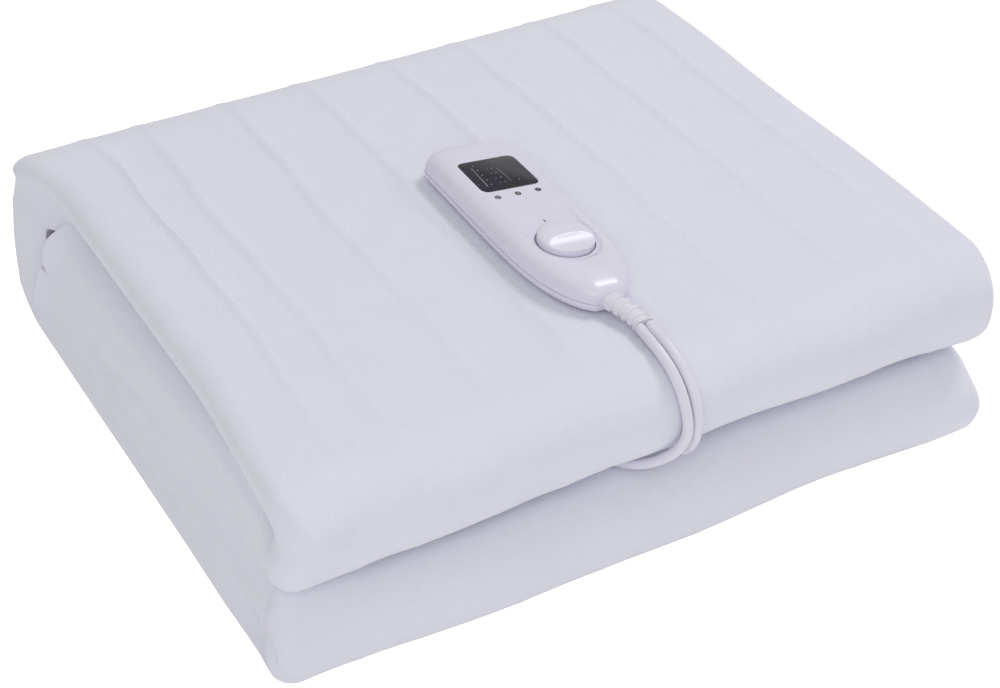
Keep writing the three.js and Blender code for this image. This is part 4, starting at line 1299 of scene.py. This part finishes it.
plug_parts = join_parts([plug_body(), *turned_pair(SLEEVE_PROFILE)])
plug = moulded("mains_plug", plug_parts, place=plug_to_pack)
pins = moulded("plug_pins", join_parts(turned_pair(PIN_PROFILE)), place=plug_to_pack)


# %% [markdown]
# Materials come next. Several of them need the same soft mottling, so it is a node group of its
# own, with inputs for its size, and each material mixes it in with its own strength.

# %% The mottling that every material shares
MOTTLE_INPUTS = [
    ("Light colour", "Color", (1, 1, 1, 1)), ("Dark colour", "Color", (0.8, 0.8, 0.8, 1)),
    ("Broad scale", "Float", 20.0), ("Fine scale", "Float", 400.0), ("Fine share", "Float", 0.4),
]


def object_place(tree):
    return add_node(tree, "ShaderNodeTexCoord").outputs["Object"]


def noise(tree, place, scale, detail=2.0):
    inputs = {"Vector": place, "Scale": scale, "Detail": detail}
    return add_node(tree, "ShaderNodeTexNoise", inputs).outputs[0]


def make_mottle():
    """A colour that wanders between two, from broad and fine noise together."""
    tree, given = start_tree("soft mottling", "ShaderNodeTree", MOTTLE_INPUTS,
                             [("Color", "Color"), ("Mask", "Float")])
    place = object_place(tree)
    broad, fine = [noise(tree, place, given[label], 3) for label in ("Broad scale", "Fine scale")]
    both = add_node(tree, "ShaderNodeMix", data_type="FLOAT")
    feed(tree, both, {"Factor": given["Fine share"], "A": broad, "B": fine})
    mask = add_node(tree, "ShaderNodeMapRange", {
        "Value": both.outputs["Result"], "From Min": 0.3, "From Max": 0.7}).outputs[0]
    colour = add_node(tree, "ShaderNodeMix", data_type="RGBA")
    feed(tree, colour, {"Factor": mask, "A": given["Dark colour"], "B": given["Light colour"]})
    add_node(tree, "NodeGroupOutput", {"Color": colour.outputs["Result"], "Mask": mask})
    return tree


MOTTLE = make_mottle()


def start_material(material):
    """An empty material with its shader linked to its output."""
    material.use_nodes = True
    tree = material.node_tree
    tree.nodes.clear()
    shader = add_node(tree, "ShaderNodeBsdfPrincipled")
    add_node(tree, "ShaderNodeOutputMaterial", {"Surface": shader.outputs["BSDF"]})
    return tree, shader


def mottled(tree, light, dark, broad, fine, share):
    """The shared mottling in a material, given as its colour and its mask."""
    node = add_node(tree, "ShaderNodeGroup", node_tree=MOTTLE)
    feed(tree, node, {"Light colour": (*light, 1), "Dark colour": (*dark, 1),
                      "Broad scale": broad, "Fine scale": fine, "Fine share": share})
    return node.outputs["Color"], node.outputs["Mask"]


def vary(tree, mask, low, high):
    """A number that follows a mask between two limits."""
    inputs = {"Value": mask, "To Min": low, "To Max": high}
    return add_node(tree, "ShaderNodeMapRange", inputs).outputs[0]


def bump(tree, height, distance, strength, **more):
    inputs = {"Height": height, "Distance": distance, "Strength": strength, **more}
    return add_node(tree, "ShaderNodeBump", inputs).outputs["Normal"]


# %% [markdown]
# The case, the dial, the leads and the plug are moulded plastics that differ in tint and gloss,
# so one function serves them all: the mottling also moves the roughness a little, and a fine
# grain lifts the surface by a few thousandths of a millimetre. The strain relief is the same
# with a coarser grain, and the printed marks are the same in ink colours.

# %% The plastics
def plastic(material, light, dark, rough, grain_scale, grain_depth):
    tree, shader = start_material(material)
    colour, mask = mottled(tree, light, dark, 30.0, 900.0, 0.3)
    grain = noise(tree, object_place(tree), grain_scale)
    feed(tree, shader, {
        "Base Color": colour, "Roughness": vary(tree, mask, rough * 0.88, rough * 1.12),
        "Normal": bump(tree, grain, grain_depth, 1.0)})
    return material


def new_plastic(name, *settings):
    return plastic(bpy.data.materials.new(name), *settings)


shell_gloss = new_plastic("gloss_shell", (0.78, 0.765, 0.88), (0.75, 0.735, 0.85), 0.27, 260, 4e-6)
base_gloss = new_plastic("gloss_base", (0.80, 0.785, 0.90), (0.77, 0.755, 0.87), 0.3, 260, 4e-6)
dial_gloss = new_plastic("gloss_dial", (0.79, 0.775, 0.885), (0.76, 0.745, 0.855), 0.27, 240, 4e-6)
lead_sheath = new_plastic("lead_sheath", (0.79, 0.78, 0.87), (0.75, 0.74, 0.83), 0.38, 700, 8e-6)
plug_plastic = new_plastic("plug_plastic", (0.80, 0.79, 0.88), (0.76, 0.75, 0.84), 0.42, 700, 1e-5)
lens_gloss = new_plastic("dark_lens", (0.012, 0.013, 0.026), (0.008, 0.009, 0.018), 0.08, 200, 1e-6)
mark_ink = new_plastic("pale_print", (0.30, 0.30, 0.33), (0.24, 0.24, 0.27), 0.4, 900, 1e-6)
dark_ink = new_plastic("dark_print", (0.02, 0.02, 0.025), (0.015, 0.015, 0.02), 0.35, 900, 1e-6)
white_ink = new_plastic("white_print", (0.75, 0.75, 0.77), (0.7, 0.7, 0.72), 0.4, 900, 1e-6)
plastic(relief_rubber, (0.79, 0.78, 0.85), (0.74, 0.73, 0.80), 0.45, 900, 1.2e-5)


# %% The steel of the pins
def steel(name):
    material = bpy.data.materials.new(name)
    tree, shader = start_material(material)
    colour, mask = mottled(tree, (0.68, 0.67, 0.63), (0.56, 0.55, 0.52), 60.0, 1500.0, 0.5)
    feed(tree, shader, {
        "Base Color": colour, "Roughness": vary(tree, mask, 0.22, 0.4), "Metallic": 1.0})
    return material


pin_steel = steel("pin_steel")


# %% [markdown]
# Brushed fleece has no shine. Its pile is a fine bump drawn out along the strip, on top of a
# broader bump for the tufts, and a sheen gives the pale rim that fibres show at a grazing angle.

# %% The fleece
def make_fleece(material):
    tree, shader = start_material(material)
    colour, _ = mottled(tree, (0.80, 0.80, 0.89), (0.77, 0.77, 0.86), 45.0, 520.0, 0.55)
    place = object_place(tree)
    stretched = add_node(tree, "ShaderNodeMapping", {"Vector": place, "Scale": (1.0, 0.45, 1.0)})
    tufts = bump(tree, noise(tree, place, 170, 3), 0.0006, 0.5)
    fibres = noise(tree, stretched.outputs["Vector"], 900, 4)
    pile = bump(tree, fibres, 0.00035, 0.7, Normal=tufts)
    feed(tree, shader, {
        "Base Color": colour, "Normal": pile, "Roughness": 0.95, "Specular IOR Level": 0.2,
        "Sheen Weight": 0.35, "Sheen Roughness": 0.5, "Sheen Tint": (0.95, 0.96, 1.0, 1)})


make_fleece(fleece)
print("materials", sorted(material.name for material in bpy.data.materials))


# %% [markdown]
# Each piece now gets its material and the body that it moves with, and the solids of the imported
# model that it stands for are hidden.

# %% Give each piece its material and its body
def dress(piece, material, body, slot, *nodes):
    if not piece.data.materials:
        piece.data.materials.append(material)
    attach(piece, body)
    if nodes:
        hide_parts(*nodes)


dress(folded_cloth, fleece, "pack", "fleece", "blanket")
dress(case_top, shell_gloss, "pack", "shell", "controller_top")
dress(case_base, base_gloss, "pack", "shell_base", "controller_base")
dress(lens, lens_gloss, "pack", "window", "display_window")
dress(display_print, mark_ink, "pack", "window")
dress(button_print, dark_ink, "pack", "window")
dress(symbol_print, white_ink, "pack", "shell")
dress(dial, dial_gloss, "dial", "dial", "knob")
dress(relief, relief_rubber, "pack", "relief", "strain_relief")
dress(mains_lead, lead_sheath, "pack", "lead", "mains_lead")
dress(blanket_lead, lead_sheath, "pack", "lead", "blanket_lead")
dress(plug, plug_plastic, "pack", "plug", "plug_body")
dress(pins, pin_steel, "pack", "pin", "plug_pin_1", "plug_pin_2")


# %% [markdown]
# The pack was photographed on a white table in a bright tent, with one lamp to its right that
# leaves a soft shadow to the left of the controller. A pale floor, a white world, that lamp and
# a broad fill from the front left give the same even shade.

# %% Floor, world and lights
FLOOR_HALF = 4000
FLOOR_DROP = 0.0003


def make_floor():
    corners = [(-FLOOR_HALF, -FLOOR_HALF, 0), (FLOOR_HALF, -FLOOR_HALF, 0),
               (FLOOR_HALF, FLOOR_HALF, 0), (-FLOOR_HALF, FLOOR_HALF, 0)]
    floor = make_piece("floor", corners, [(0, 1, 2, 3)])
    floor.location.z = -FLOOR_DROP
    material = bpy.data.materials.new("pale_floor")
    tree, shader = start_material(material)
    seen = add_node(tree, "ShaderNodeLightPath").outputs["Is Camera Ray"]
    feed(tree, shader, {
        "Base Color": (0.85, 0.85, 0.85, 1), "Roughness": 0.9, "Emission Color": (1, 1, 1, 1),
        "Emission Strength": vary(tree, seen, 0.15, 1.0)})
    floor.data.materials.append(material)


def make_world(strength):
    world = bpy.data.worlds.new("white_tent")
    world.use_nodes = True
    background = world.node_tree.nodes["Background"]
    background.inputs["Color"].default_value = (1, 1, 1, 1)
    background.inputs["Strength"].default_value = strength
    scene.world = world


def soft_light(name, place, target, size, power):
    data = bpy.data.lights.new(name, "AREA")
    data.shape = "SQUARE"
    data.size = size
    data.energy = power
    light = link_object(name, data)
    light.location = place
    light.rotation_mode = "QUATERNION"
    light.rotation_quaternion = (Vector(target) - Vector(place)).to_track_quat("-Z", "Y")


make_floor()
make_world(0.525)
soft_light("key_light", (1.3, 0.2, 2.0), (0, -0.05, 0.05), 0.7, 15)
soft_light("fill_light", (-0.9, -1.5, 1.4), (0, -0.05, 0.05), 1.2, 9)
scene.view_settings.view_transform = "Standard"
